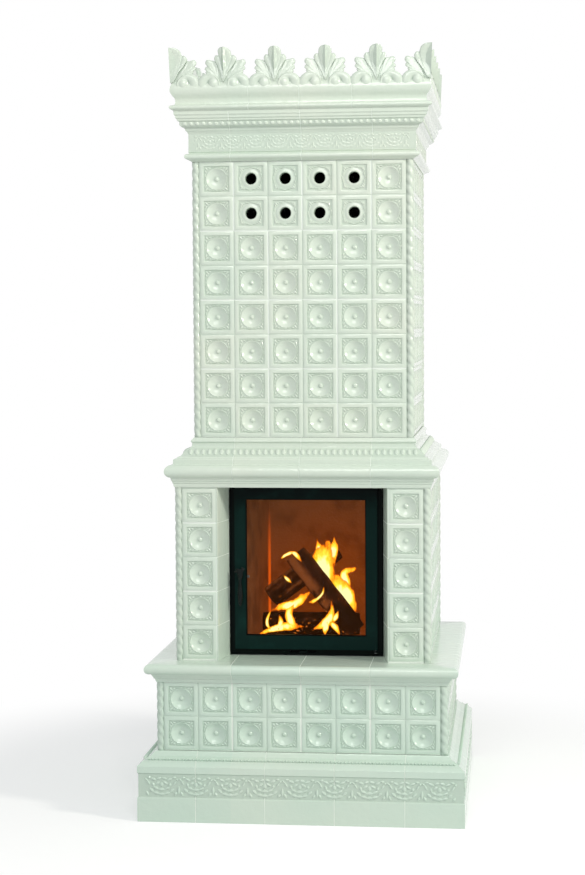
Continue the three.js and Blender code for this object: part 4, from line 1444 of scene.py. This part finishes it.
@dataclass
class Gallery:
    """The leaf gallery: a moulded foot, paired volutes and a palmette over each pair."""

    foot: float = level("gallery_front")
    tower: float = half_of(TOWER_BOWLS)
    face: float = half_of(TOWER_BOWLS) + 52
    plate: float = 12.0
    pitch: float = 163.0  # of the palmettes
    count: int = 5  # palmettes to a side, the halves at the corners counted as one
    lean: float = 9.0  # how far the leaves bend back
    tip: float = 10.0  # how far their tips bend out again

    @property
    def reach(self) -> float:
        """Distance from the middle to the line of the palmette at each end."""
        return self.count * self.pitch / 2

    def build(self, finishes: Finishes) -> None:
        """Builds the four sides."""
        course = Course("gallery", self._base(), (-166, -3, 166))
        half = self._half_palmette()
        mirror = Matrix.Diagonal((-1, 1, 1, 1))
        for side in Side:
            sculpt = Sculpt()
            self._plate(sculpt)
            for i in range(self.count + 1):
                at = Matrix.Translation((i * self.pitch - self.reach, 0, 0))
                if i < self.count:
                    sculpt.stamp(half, at)
                if i > 0:
                    sculpt.stamp(half, at @ mirror)
            self._mitre(sculpt)
            self._curl(sculpt)
            foot = Sculpt()
            course.run(foot)
            sculpt.stamp(foot.shape())
            sculpt.turn(side)
            node = f"gallery_{side.label}"
            sculpt.place(f"{node}_leaves", finishes.tiles, sharp=45, replaces=(node,))

    def _base(self) -> list[Point]:
        """Profile of the moulded foot."""
        profile = [
            (24, 92),
            (24, 0),
            (49.6, 0),
            (52, 3),
            *arc(56.5, 11, 6.3, -70, 80, 7),
            (52, 19),
            (46, 21),
            (44.5, 26),
            (44.5, 36),
            (47, 42),
            (52.5, 48),
            (57.5, 55),
            (60, 63),
            (60, 70),
            (58.5, 77),
            (55.5, 84),
            (50, 92),
        ]
        return raised(profile, self.tower, self.foot)

    @staticmethod
    def _outline() -> list[Point]:
        """The plate's cut-out upper edge for half a palmette, from its middle outwards."""
        crown = [(0, 197), (9, 195), (16, 188), (17.5, 179), (20, 171.5), (29, 172.5)]
        crown += [(34.5, 165), (32, 157)]
        wing = [(38, 155.5), (46, 156.5), (53, 158), (59.5, 158.5), (63.5, 153.5)]
        wing += [(62, 146.5), (57, 141), (61.5, 136.5), (62, 130.5), (56, 126), (56.5, 121.5)]
        return crown + wing + arc(48, 80, 36.5, 85, 25, 6) + [(81.5, 95)]

    def _plate(self, sculpt: Sculpt) -> None:
        """The thin back plate that the leaves stand on, mitred at the corners."""
        half, reach = self._outline(), self.reach
        edge: list[Point] = []
        for i in range(self.count + 1):
            x = -reach + i * self.pitch
            if i > 0:
                edge += [(x - across, up) for across, up in reversed(half[1:])]
            edge.append((x, half[0][1]))
            if i < self.count:
                edge += [(x + across, up) for across, up in half[1:-1]]
        outline = [(-reach, 54), *edge, (reach, 54)]
        rings = []
        for out in (self.face - self.plate, self.face):
            grow = out / reach
            ring = [(x * grow if abs(x) > reach - 1 else x, up) for x, up in outline]
            rings.append([Vector((x, -out, self.foot + up)) for x, up in ring])
        sculpt.loft(rings)
        bmesh.ops.triangulate(sculpt.bm, faces=[f for f in sculpt.bm.faces if len(f.verts) > 4])

    def _half_palmette(self) -> bpy.types.Mesh:
        """The right half of a palmette with its volute, about its middle."""
        half = Sculpt()
        crown = (
            (0, 88, 0.7),
            (8, 104, 0.7),
            (13, 120, 0.7),
            (19, 138, 0.7),
            (26, 150, 0.8),
            (34, 156, 0.9),
            (36.5, 165, 0.95),
            (30, 174.5, 0.95),
            (22, 174, 0.7),
            (21, 181, 0.85),
            (19.5, 190, 0.95),
            (11, 198, 1.0),
            (0, 200, 0.98),
        )
        wing = (
            (12, 96, 0.7),
            (18, 116, 0.75),
            (24, 134, 0.75),
            (30, 150, 0.85),
            (38, 157.5, 0.95),
            (46, 158.5, 0.88),
            (53, 160.5, 0.95),
            (61, 161, 1.0),
            (66.5, 154, 1.0),
            (65, 146, 0.95),
            (60.5, 141.5, 0.8),
            (65, 137, 0.95),
            (66, 130, 1.0),
            (60, 125.5, 0.8),
            (61.5, 120, 0.95),
            (54, 112.5, 0.95),
            (42, 105, 0.9),
            (28, 98, 0.8),
            (18, 92, 0.7),
        )
        self._lobed(half, wing, (14, 100), 5.5)
        self._lobed(half, crown, (0, 100), 8.5)
        self._volute(half)
        return half.shape()

    def _lobed(
        self,
        half: Sculpt,
        outline: Sequence[Triple],
        root: Point,
        rise: float,
    ) -> None:
        """A lobed leaf whose folds run from its root to the lobes, open on the middle line.

        Args:
            half: The palmette's mesh.
            outline: Across, up and share of the rise at each point of the edge.
            root: Where the folds meet.
            rise: How far the fullest lobe stands off the plate.
        """
        edge = smooth_spine(outline, 3)
        sunk, full, flat = -3.0, 1.05, 0.7
        steps = ((1.0, sunk), (1.0, 0.4), (0.95, 0.8), (0.86, 1.0))
        steps += ((0.68, full), (0.42, full), (0.15, 1.0))
        rings, folds = [], []
        for scale, height in steps:
            ring = []
            for x, up, share in edge:
                fold = share * scale + flat * (1 - scale)
                lift = height if x > 0.5 else full
                out = self.face + (rise * lift * fold if lift > 0 else lift)
                across = root[0] + (x - root[0]) * scale
                ring.append(Vector((across, -out, self.foot + root[1] + (up - root[1]) * scale)))
                # painted shade and pooled glaze, deeper where the folds sink
                folds.append(0.12 + max(0.0, 0.82 - fold) * 2.2 + (0.3 if height <= 0.4 else 0.0))
            rings.append(ring)
        made = half.loft(rings)
        for vert, fold in zip(made, folds, strict=True):
            vert[half.pool] = fold
        seam = {vert for vert in made if abs(vert.co.x) < 0.01}
        walls = [face for face in half.bm.faces if seam.issuperset(face.verts)]
        bmesh.ops.delete(half.bm, geom=walls, context="FACES_ONLY")

    def _volute(self, half: Sculpt) -> None:
        """A scroll that closes round a raised eye, and sinks at the bottom into the foot."""
        lip = 6.4
        # centre across, centre up, radius, rise, and depth of pooled glaze and painted shade
        steps = (
            (48, 80, 38, -3, 0.3),
            (48, 80, 37.6, 2.5, 0.2),
            (47, 80.3, 35.5, 5.4, 0.1),
            (44.5, 81, 31, 7.2, 0.1),
            (40.5, 82.5, 26.5, 6.8, 0.1),
            (36.5, 83.8, 20.5, 5.4, 0.3),
            (34.2, 84, 16.8, 1.4, 1.0),
            (33.0, 84.4, 14.6, 4.4, 0.4),
            (32.4, 84.6, 12.6, 6.8, 0.0),
            (32, 84.7, 8.6, 8.6, 0.0),
            (32, 84.8, 4.4, 9.6, 0.0),
            (32, 84.8, 0.8, 10.0, 0.0),
        )
        rings, pool_and_shade_levels = [], []
        for x, up, radius, rise, pool in steps:
            groove = 14 < radius < 21  # it fades out on the inner side of the scroll
            ring = []
            for a, b in arc(x, self.foot + up, radius, 0, 345, 23):
                deep = max(0.0, (a - x) / radius) if groove else 1.0
                sunk = 16 * min(1.0, max(0.0, (self.foot + 66 - b) / 12))
                ring.append(Vector((a, sunk - self.face - lip - (rise - lip) * deep, b)))
                pool_and_shade_levels.append(pool * deep)
            rings.append(ring)
        for vert, pool in zip(half.loft(rings), pool_and_shade_levels, strict=True):
            vert[half.pool] = pool

    def _mitre(self, sculpt: Sculpt) -> None:
        """Keeps the end leaves on their own side of the mitre, and draws them out to it."""
        for vert in sculpt.bm.verts:
            out = -vert.co.y
            end = out if abs(vert.co.x) > self.reach - 0.01 else min(out, abs(vert.co.x))
            vert.co.x = math.copysign(end, vert.co.x)

    def _curl(self, sculpt: Sculpt) -> None:
        """Bends the leaves: back above the volutes, and out again at their tips."""
        for vert in sculpt.bm.verts:
            up = vert.co.z - self.foot
            back = self.lean * min(1.0, max(0.0, (up - 96) / 44)) ** 1.5
            tip = self.tip * max(0.0, (up - 158) / 40) ** 1.6
            scale = 1 + (tip - back) / self.face
            vert.co.x *= scale
            vert.co.y *= scale
        sculpt.recalculate()


# ---------------------------------------------------------------- jambs


@dataclass
class Jambs:
    """The glazed returns that run back from the pillars to the door frame."""

    low: float = level("jamb_right")
    high: float = level("mantel_front")
    rows: int = 5
    groove: float = 1.3
    groove_half: float = 1.1
    plan: tuple[Point, ...] = (
        (278.4, -411.25),
        (278.4, -369.0),
        (300.0, -369.0),
        (300.0, -291.0),
        (254.0, -291.0),
        (274.4, -408.5),
        (275.6, -411.25),
    )

    def build(self, finishes: Finishes) -> None:
        """Builds both jambs."""
        plan, half = self.plan, self.groove_half
        margin = (self.high - self.low - self.rows * BOWL) / 2
        sunk = [
            (x + self.groove if x < 290 and y < -300 else x, y + self.groove) for x, y in plan
        ]
        for side, name in ((1, "jamb_right"), (-1, "jamb_left")):
            sculpt = Sculpt()
            rings, pool_and_shade_levels, slots = [self._ring(plan, side, self.low)], [0.0], []
            for row in range(1, self.rows):
                joint = self.low + margin + row * BOWL
                for shift, points in ((-half, plan), (0, sunk), (half, plan)):
                    rings.append(self._ring(points, side, joint + shift))
                # pooled glaze and painted shade at the joint groove
                pool_and_shade_levels += [0.0, 0.8, 0.0]
                slots += [0, 1, 1]
            rings.append(self._ring(plan, side, self.high - GAP))
            pool_and_shade_levels.append(0.0)
            slots.append(0)
            sculpt.loft(rings, pool_and_shade_levels=pool_and_shade_levels, slots=slots)
            sculpt.recalculate()
            sculpt.place(f"{name}_tiles", finishes.tiles, sharp=30, replaces=(name,))

    @staticmethod
    def _ring(plan: Sequence[Point], side: int, up: float) -> list[Vector]:
        """The plan at a height."""
        return [Vector((side * x, y, up)) for x, y in plan]


# ---------------------------------------------------------------- door furniture


@dataclass
class Lever:
    """The door's lever: a forked top, a narrow waist and a long drop tail, on a round neck.

    Each station gives a height from the spindle, half of the width and of the thickness there,
    and a shift across.
    """

    x: float = -214.5
    z: float = 765.0
    face: float = -303.0
    reach: float = 17.0
    neck: float = 7.0
    spindle: float = 4.5
    spindle_end: float = -270.8
    horn: tuple[float, float, float] = (4.0, 2.8, 9.0)
    stations: tuple[tuple[float, float, float, float], ...] = (
        (-92.0, 1.4, 2.2, 0.0),
        (-88.0, 4.4, 3.4, 0.0),
        (-78.0, 6.6, 4.6, 0.0),
        (-62.0, 8.2, 5.0, 0.0),
        (-44.0, 8.4, 4.8, 0.0),
        (-28.0, 6.6, 4.4, 0.0),
        (-14.0, 4.4, 4.0, 0.0),
        (-4.0, 5.2, 4.6, 0.0),
        (6.0, 8.2, 5.0, 0.0),
        (16.0, 10.8, 4.8, -0.8),
        (25.0, 12.6, 4.2, -1.4),
        (31.0, 13.4, 3.0, -1.6),
    )

    def build(self, finishes: Finishes) -> None:
        """Builds the lever on its neck."""
        sculpt = Sculpt()
        middle = self.face - self.reach - 5
        rings = []
        for up, wide, deep, shift in self.stations:
            ring = []
            for angle in turns(16):
                across = self.x + shift + wide * math.cos(angle)
                ring.append(Vector((across, middle + deep * math.sin(angle), self.z + up)))
            rings.append(ring)
        sculpt.loft(rings)
        for side, up in ((-1, 24.5), (1, 30.0)):
            lean = Matrix.Rotation(math.radians(-side * 34), 4, "Y")
            at = Vector((self.x - 1.2 + side * 10.5, middle, self.z + up))
            sculpt.blob(at, Vector(self.horn), lean, 10)
        sculpt.loft(self._bar(self.neck, middle, self.face - GAP))
        sculpt.loft(self._bar(self.spindle, self.face - 2, self.spindle_end))
        sculpt.recalculate()
        sculpt.place(
            "handle_lever_formed",
            [finishes.polished],
            body="handle",
            slot="black_steel",
            replaces=("handle_lever",),
        )

    def _bar(self, radius: float, front: float, back: float) -> list[list[Vector]]:
        """The two end rings of a round bar along Y."""
        section = [(radius * math.cos(a), radius * math.sin(a)) for a in turns(20)]
        return [[Vector((self.x + x, y, self.z + z)) for x, z in section] for y in (front, back)]


@dataclass
class EdgeBead:
    """A thin round bead that runs round a rectangle of the door."""

    name: str
    body: str
    half: float
    low: float
    high: float
    y: float
    radius: float

    def build(self, finishes: Finishes) -> None:
        """Builds the bead."""
        sculpt = Sculpt()
        corners = [(-1, self.low), (1, self.low), (1, self.high), (-1, self.high)]
        rings = []
        for side, z in (*corners, corners[0]):
            away = Vector((side, 0, 1 if z == self.high else -1))
            ring = []
            for angle in turns(8):
                point = Vector((side * self.half, self.y + self.radius * math.sin(angle), z))
                ring.append(point + away * self.radius * math.cos(angle))
            rings.append(ring)
        sculpt.loft(rings, capped=False)
        sculpt.merge(0.001)
        sculpt.recalculate()
        sculpt.place(self.name, [finishes.paint], body=self.body, slot="black_steel", sharp=60)


# Round the fixed frame, and round the window in the leaf.
DOOR_BEADS = (
    EdgeBead("door_frame_rim", "stove", 250.5, 509.5, 1080.5, -291.0, 1.6),
    EdgeBead("leaf_edge_bead", "door", 196.8, 574.2, 1022.8, -303.4, 1.1),
)


# ---------------------------------------------------------------- fire


@dataclass
class Log:
    """A split log: round where the bark was, flat where it was split, and a little uneven."""

    name: str
    start: Triple
    end: Triple
    seed: int
    radius: float = 40.0
    steps: int = 16

    def build(self, finishes: Finishes) -> None:
        """Builds the log in place of its node."""
        sculpt = Sculpt()
        dice = random.Random(self.seed)
        start, end = Vector(self.start), Vector(self.end)
        axis = (end - start).normalized()
        side = axis.cross(Vector((0, 1, 0))).normalized()
        front = side.cross(axis).normalized()
        section = arc(0, 0, 1.0, -12, 168, 12) + [(-0.72, -0.12), (-0.35, -0.62)]
        section += [(0.0, -0.74), (0.42, -0.68), (0.75, -0.4)]
        rough = [dice.uniform(0.92, 1.05) for _ in section]
        stripes = [dice.random() for _ in section]
        layer = sculpt.bm.verts.layers.float.new("grain")
        rings = []
        for i in range(self.steps + 1):
            share = i / self.steps
            taper = 1 - 0.07 * max(0.0, 1 - 12 * min(share, 1 - share))
            centre = start.lerp(end, share)
            ring = []
            for (a, b), grow in zip(section, rough, strict=True):
                reach = self.radius * grow * taper * dice.uniform(0.965, 1.02)
                ring.append(centre + side * a * reach + front * b * reach)
            rings.append(ring)
        for i, vert in enumerate(sculpt.loft(rings)):
            vert[layer] = stripes[i % len(section)]
        sculpt.recalculate()
        sculpt.place(
            f"{self.name}_split",
            [finishes.wood],
            slot="split_wood",
            sharp=35,
            replaces=(self.name,),
        )


@dataclass
class Tongue:
    """A flame tongue: across, up and half-width at points of its middle line."""

    spine: tuple[Triple, ...]
    y: float = -178.0


@dataclass
class Fire:
    """The burning logs and the flames over them."""

    logs: tuple[Log, ...] = (
        Log("log_base", (-175, -35, 574), (155, -35, 574), 3),
        Log("log_left", (-148, -30, 660), (76, -30, 829), 5),
        Log("log_right", (150.5, -127, 564), (-52.5, -127, 824), 8),
    )
    tongues: tuple[Tongue, ...] = (
        Tongue(
            (
                (52, 668, 12),
                (50, 712, 34),
                (40, 746, 38),
                (34, 780, 46),
                (38, 812, 43),
                (48, 844, 27),
                (44, 876, 2),
            ),
            -86.0,
        ),
        Tongue(((40, 782, 24), (28, 818, 17), (20, 846, 12), (16, 872, 1)), -79.0),
        Tongue(((56, 786, 24), (68, 822, 18), (74, 850, 14), (74, 878, 1)), -79.0),
        Tongue(
            (
                (148, 618, 5),
                (130, 650, 26),
                (110, 682, 36),
                (90, 706, 38),
                (66, 716, 38),
                (44, 724, 14),
            ),
            -84.0,
        ),
        Tongue(
            (
                (100, 668, 10),
                (108, 700, 24),
                (110, 728, 20),
                (108, 752, 16),
                (120, 763, 13),
                (136, 766, 10),
                (155, 773, 1),
            ),
            -79.0,
        ),
        Tongue(
            (
                (-134, 636, 3),
                (-96, 651, 14),
                (-62, 657, 17),
                (-36, 671, 18),
                (-16, 688, 14),
                (2, 704, 1),
            )
        ),
        Tongue(((-44, 580, 8), (-62, 600, 16), (-71, 626, 15), (-62, 650, 14), (-40, 672, 3))),
        Tongue(((-176, 556, 2), (-136, 572, 10), (-92, 583, 15), (-58, 586, 16), (-20, 585, 2))),
        Tongue(((-128, 568, 4), (-144, 592, 6), (-140, 618, 5), (-128, 644, 1))),
        Tongue(((-106, 574, 6), (-98, 600, 10), (-104, 628, 1))),
        Tongue(
            (
                (10, 576, 2),
                (38, 588, 13),
                (58, 603, 19),
                (70, 626, 14),
                (74, 648, 8),
                (72, 676, 1),
            )
        ),
        Tongue(((60, 606, 8), (52, 580, 12), (50, 556, 3))),
        Tongue(((64, 602, 6), (84, 586, 12), (101, 558, 3))),
        Tongue(((78, 600, 5), (88, 620, 9), (97, 642, 1))),
        Tongue(((48, 724, 1), (44, 700, 4), (28, 681, 5), (10, 670, 8), (-6, 668, 2))),
        Tongue(((-86, 759, 1), (-77, 749, 6), (-68, 741, 6), (-58, 732, 1)), -190.0),
        Tongue(((-100, 810, 2), (-82, 824, 6), (-60, 834, 6), (-52, 836, 1)), -176.0),
        Tongue(((-66, 836, 2), (-52, 832, 8), (-40, 820, 8), (-24, 800, 1)), -176.0),
    )
    columns: int = 9
    bulge: float = 6.0

    def build(self, finishes: Finishes) -> None:
        """Builds the logs, then the flames."""
        for log in self.logs:
            log.build(finishes)
        for i, tongue in enumerate(self.tongues):
            self._flame(tongue, f"flame_{i + 1}", finishes)

    def _flame(self, tongue: Tongue, name: str, finishes: Finishes) -> None:
        """One flame: a thin curved sheet, hot in the middle and cooler at its rim."""
        sculpt = Sculpt()
        burn = sculpt.bm.verts.layers.float.new("burn")
        spine = smooth_spine(tongue.spine, 5)
        shares = [2 * column / (self.columns - 1) - 1 for column in range(self.columns)]
        rings = []
        for i, (x, z, half) in enumerate(spine):
            ahead = spine[min(i + 1, len(spine) - 1)]
            behind = spine[max(i - 1, 0)]
            along = Vector((ahead[0] - behind[0], 0, ahead[1] - behind[1])).normalized()
            across = Vector((along.z, 0, -along.x))
            ring = []
            for share in shares:
                deep = self.bulge * (1 - share * share)
                ring.append(Vector((x, tongue.y - deep, z)) + across * half * share)
            rings.append(ring)
        for k, vert in enumerate(sculpt.loft(rings, closed=False)):
            row, column = divmod(k, self.columns)
            length = row / (len(spine) - 1)
            fade = min(1.0, 3.2 * length, 1.6 * (1 - length) + 0.12)
            vert[burn] = max(0.0, (1 - shares[column] ** 2) * fade)
        sculpt.place(name, [finishes.flame], slot="split_wood", sharp=180)


def smooth_spine(spine: Sequence[Triple], steps: int) -> list[Triple]:
    """Rounds a row of points by Catmull-Rom.

    Args:
        spine: The points.
        steps: Stretches between two points.

    Returns:
        The rounded row.
    """
    points = [Vector(p) for p in spine]
    points = [points[0], *points, points[-1]]
    made = []
    for a, b, c, d in zip(points, points[1:], points[2:], points[3:], strict=False):
        for i in range(steps):
            t = i / steps
            curve = 2 * b + (c - a) * t + (2 * a - 5 * b + 4 * c - d) * t * t
            curve += (3 * b - a - 3 * c + d) * t**3
            made.append(tuple(curve / 2))
    made.append(tuple(points[-1]))
    return made


# ---------------------------------------------------------------- carried-over nodes


@dataclass
class CarriedNodes:
    """Gives the nodes that stay their finishes."""

    paint: tuple[str, ...] = ("door_frame", "glass_retainer", "flue_pipe", "air_slider")
    steel: tuple[str, ...] = (
        "firebox_body",
        "ash_pan",
        "hinge_pin_top",
        "hinge_pin_bottom",
        "latch_cam",
    )
    lining: tuple[str, ...] = (
        "lining_left",
        "lining_right",
        "lining_back",
        "hearth_plate",
        "baffle",
    )
    block: tuple[str, ...] = ("top_cover", "pedestal")

    def dress(self, nodes: dict[str, bpy.types.Object], finishes: Finishes) -> None:
        """Puts a material on each node.

        Args:
            nodes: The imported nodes.
            finishes: The materials.
        """
        sets = (
            (self.paint, finishes.paint),
            (self.steel, finishes.steel),
            (self.lining, finishes.lining),
            (self.block, finishes.block),
            (("door_leaf",), finishes.leaf_paint),
            (("grate",), finishes.iron),
            (("glass_pane",), finishes.glass),
        )
        for names, material in sets:
            for name in names:
                mesh = nodes[name].data
                mesh.materials.clear()
                mesh.materials.append(material)
                LOG.info("%s: %s", name, material.name)


# ---------------------------------------------------------------- studio


@dataclass(frozen=True)
class Lamp:
    """A soft square lamp that faces the stove, in metres and watts."""

    name: str
    at: Triple
    size: float
    power: float
    tint: Colour
    target: Triple = (0, 0, 1.2)

    def hang(self, scene: bpy.types.Scene) -> None:
        """Adds the lamp to the scene."""
        data = bpy.data.lights.new(self.name, "AREA")
        data.shape = "SQUARE"
        data.size = self.size
        data.energy = self.power
        data.color = self.tint
        lamp = bpy.data.objects.new(self.name, data)
        lamp.location = self.at
        aim = Vector(self.target) - Vector(self.at)
        lamp.rotation_euler = aim.to_track_quat("-Z", "Y").to_euler()
        scene.collection.objects.link(lamp)


@dataclass
class Studio:
    """Camera, lights, floor and background."""

    eye: Triple = (0.6829, -6.7511, 1.6108)
    turn: Triple = (86.611, 0.3127, 6.3899)
    lens: float = 81.78
    lamps: tuple[Lamp, ...] = (
        Lamp("key", (5.8, -3.1, 3.8), 0.9, 195.0, (1.0, 0.965, 0.85)),
        Lamp("fill", (0.4, -4.6, 4.7), 2.4, 85.0, (1.0, 1.0, 0.985)),
    )
    daylight: Colour = (0.98, 1.0, 0.995)
    daylight_strength: float = 0.54
    floor_size: float = 30.0
    floor_drop: float = 0.0005
    floor_colour: Colour = (0.80, 0.80, 0.81)
    floor_lift: float = 0.32
    floor_fade: Point = (1.1, 2.0)

    def build(self) -> None:
        """Sets the scene up."""
        scene = bpy.context.scene
        scene.view_settings.view_transform = "Standard"
        self._camera(scene)
        self._world(scene)
        self._floor(scene)
        for lamp in self.lamps:
            lamp.hang(scene)

    def _camera(self, scene: bpy.types.Scene) -> None:
        """The camera, at the photograph's viewing angle."""
        data = bpy.data.cameras.new("camera")
        data.sensor_fit = "VERTICAL"
        data.sensor_height = 36.0
        data.lens = self.lens
        data.clip_end = 60.0
        camera = bpy.data.objects.new("camera", data)
        camera.location = self.eye
        camera.rotation_euler = Euler([math.radians(angle) for angle in self.turn], "XYZ")
        scene.collection.objects.link(camera)
        scene.camera = camera

    def _world(self, scene: bpy.types.Scene) -> None:
        """A pale surround that is white to the camera and in reflections."""
        shader = Shader("studio", world=True)
        light = {"Color": (*self.daylight, 1.0), "Strength": self.daylight_strength}
        plain = shader.node("ShaderNodeBackground", inputs=light)
        white = shader.node("ShaderNodeBackground", inputs={"Color": (1.0, 1.0, 1.0, 1.0)})
        inputs = {0: shader.looked_at(), 1: plain, 2: white}
        scene.world = shader.close(shader.node("ShaderNodeMixShader", inputs=inputs))

    def _floor(self, scene: bpy.types.Scene) -> None:
        """A pale floor that keeps the stove's shadow and is white away from it."""
        bm = bmesh.new()
        bmesh.ops.create_grid(bm, x_segments=1, y_segments=1, size=self.floor_size)
        mesh = bpy.data.meshes.new("floor")
        bm.to_mesh(mesh)
        bm.free()
        floor = bpy.data.objects.new("floor", mesh)
        scene.collection.objects.link(floor)
        floor.location.z = -self.floor_drop
        shader = Shader("pale_floor")
        white = {"Color": (1.0, 1.0, 1.0, 1.0), "Strength": 1.0}
        colour = {"Color": (*self.floor_colour, 1.0)}
        matt = shader.node("ShaderNodeBsdfDiffuse", inputs=colour)
        lift = shader.node("ShaderNodeEmission", inputs=white | {"Strength": self.floor_lift})
        near = shader.node("ShaderNodeAddShader", inputs={0: matt, 1: lift})
        far = shader.node("ShaderNodeEmission", inputs=white)
        length = {"operation": "LENGTH"}
        away = shader.node("ShaderNodeVectorMath", length, {0: shader.place()}, "Value")
        inputs = {0: away.over(*self.floor_fade), 1: near, 2: far}
        shown = shader.node("ShaderNodeMixShader", inputs=inputs)
        inputs = {0: shader.looked_at(), 1: matt, 2: shown}
        mesh.materials.append(shader.close(shader.node("ShaderNodeMixShader", inputs=inputs)))


# ---------------------------------------------------------------- assembly


def build_walls(finishes: Finishes) -> None:
    """Builds the tiled walls of the three storeys.

    Args:
        finishes: The materials.
    """
    low, high = level("bench_front"), level("ledge_front")
    bench = Storey("bench", BENCH_BOWLS, 2, low, high, (2, 4, 6), (2, 4, 6))
    sides = {side: (f"bench_{side.label}",) for side in Side}
    TiledWalls(bench, sides, finishes).build()

    low, high = level("pillar_left"), level("mantel_front")
    surround = Storey("surround", SURROUND_BOWLS, 5, low, high, (1, 3, 5), (2, 4, 6))
    sides = {side: (f"surround_{side.label}",) for side in (Side.RIGHT, Side.BACK, Side.LEFT)}
    walls = TiledWalls(surround, sides, finishes)
    walls.build()
    walls.build_side(Side.FRONT, ("pillar_left",), (0, 1))
    walls.build_side(Side.FRONT, ("pillar_right",), (SURROUND_BOWLS - 1, SURROUND_BOWLS))

    low, high = level("tower_front"), level("cornice_front")
    tower = Storey("tower", TOWER_BOWLS, 8, low, high, (2, 4), (1, 3, 5), vents=True)
    sides = {side: (f"tower_{side.label}",) for side in Side}
    sides[Side.FRONT] = ("tower_front", "vent_tile_left", "vent_tile_right")
    TiledWalls(tower, sides, finishes).build()


def main() -> None:
    """Builds and dresses the whole stove."""
    logging.basicConfig(level=logging.INFO, format="%(message)s")
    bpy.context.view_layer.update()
    Studio().build()
    finishes = Finishes()
    CarriedNodes().dress(frame["nodes"], finishes)
    build_walls(finishes)
    Mouldings().build(finishes)
    Gallery().build(finishes)
    Jambs().build(finishes)
    Lever().build(finishes)
    for bead in DOOR_BEADS:
        bead.build(finishes)
    Fire().build(finishes)


if __name__ == "__main__":
    main()
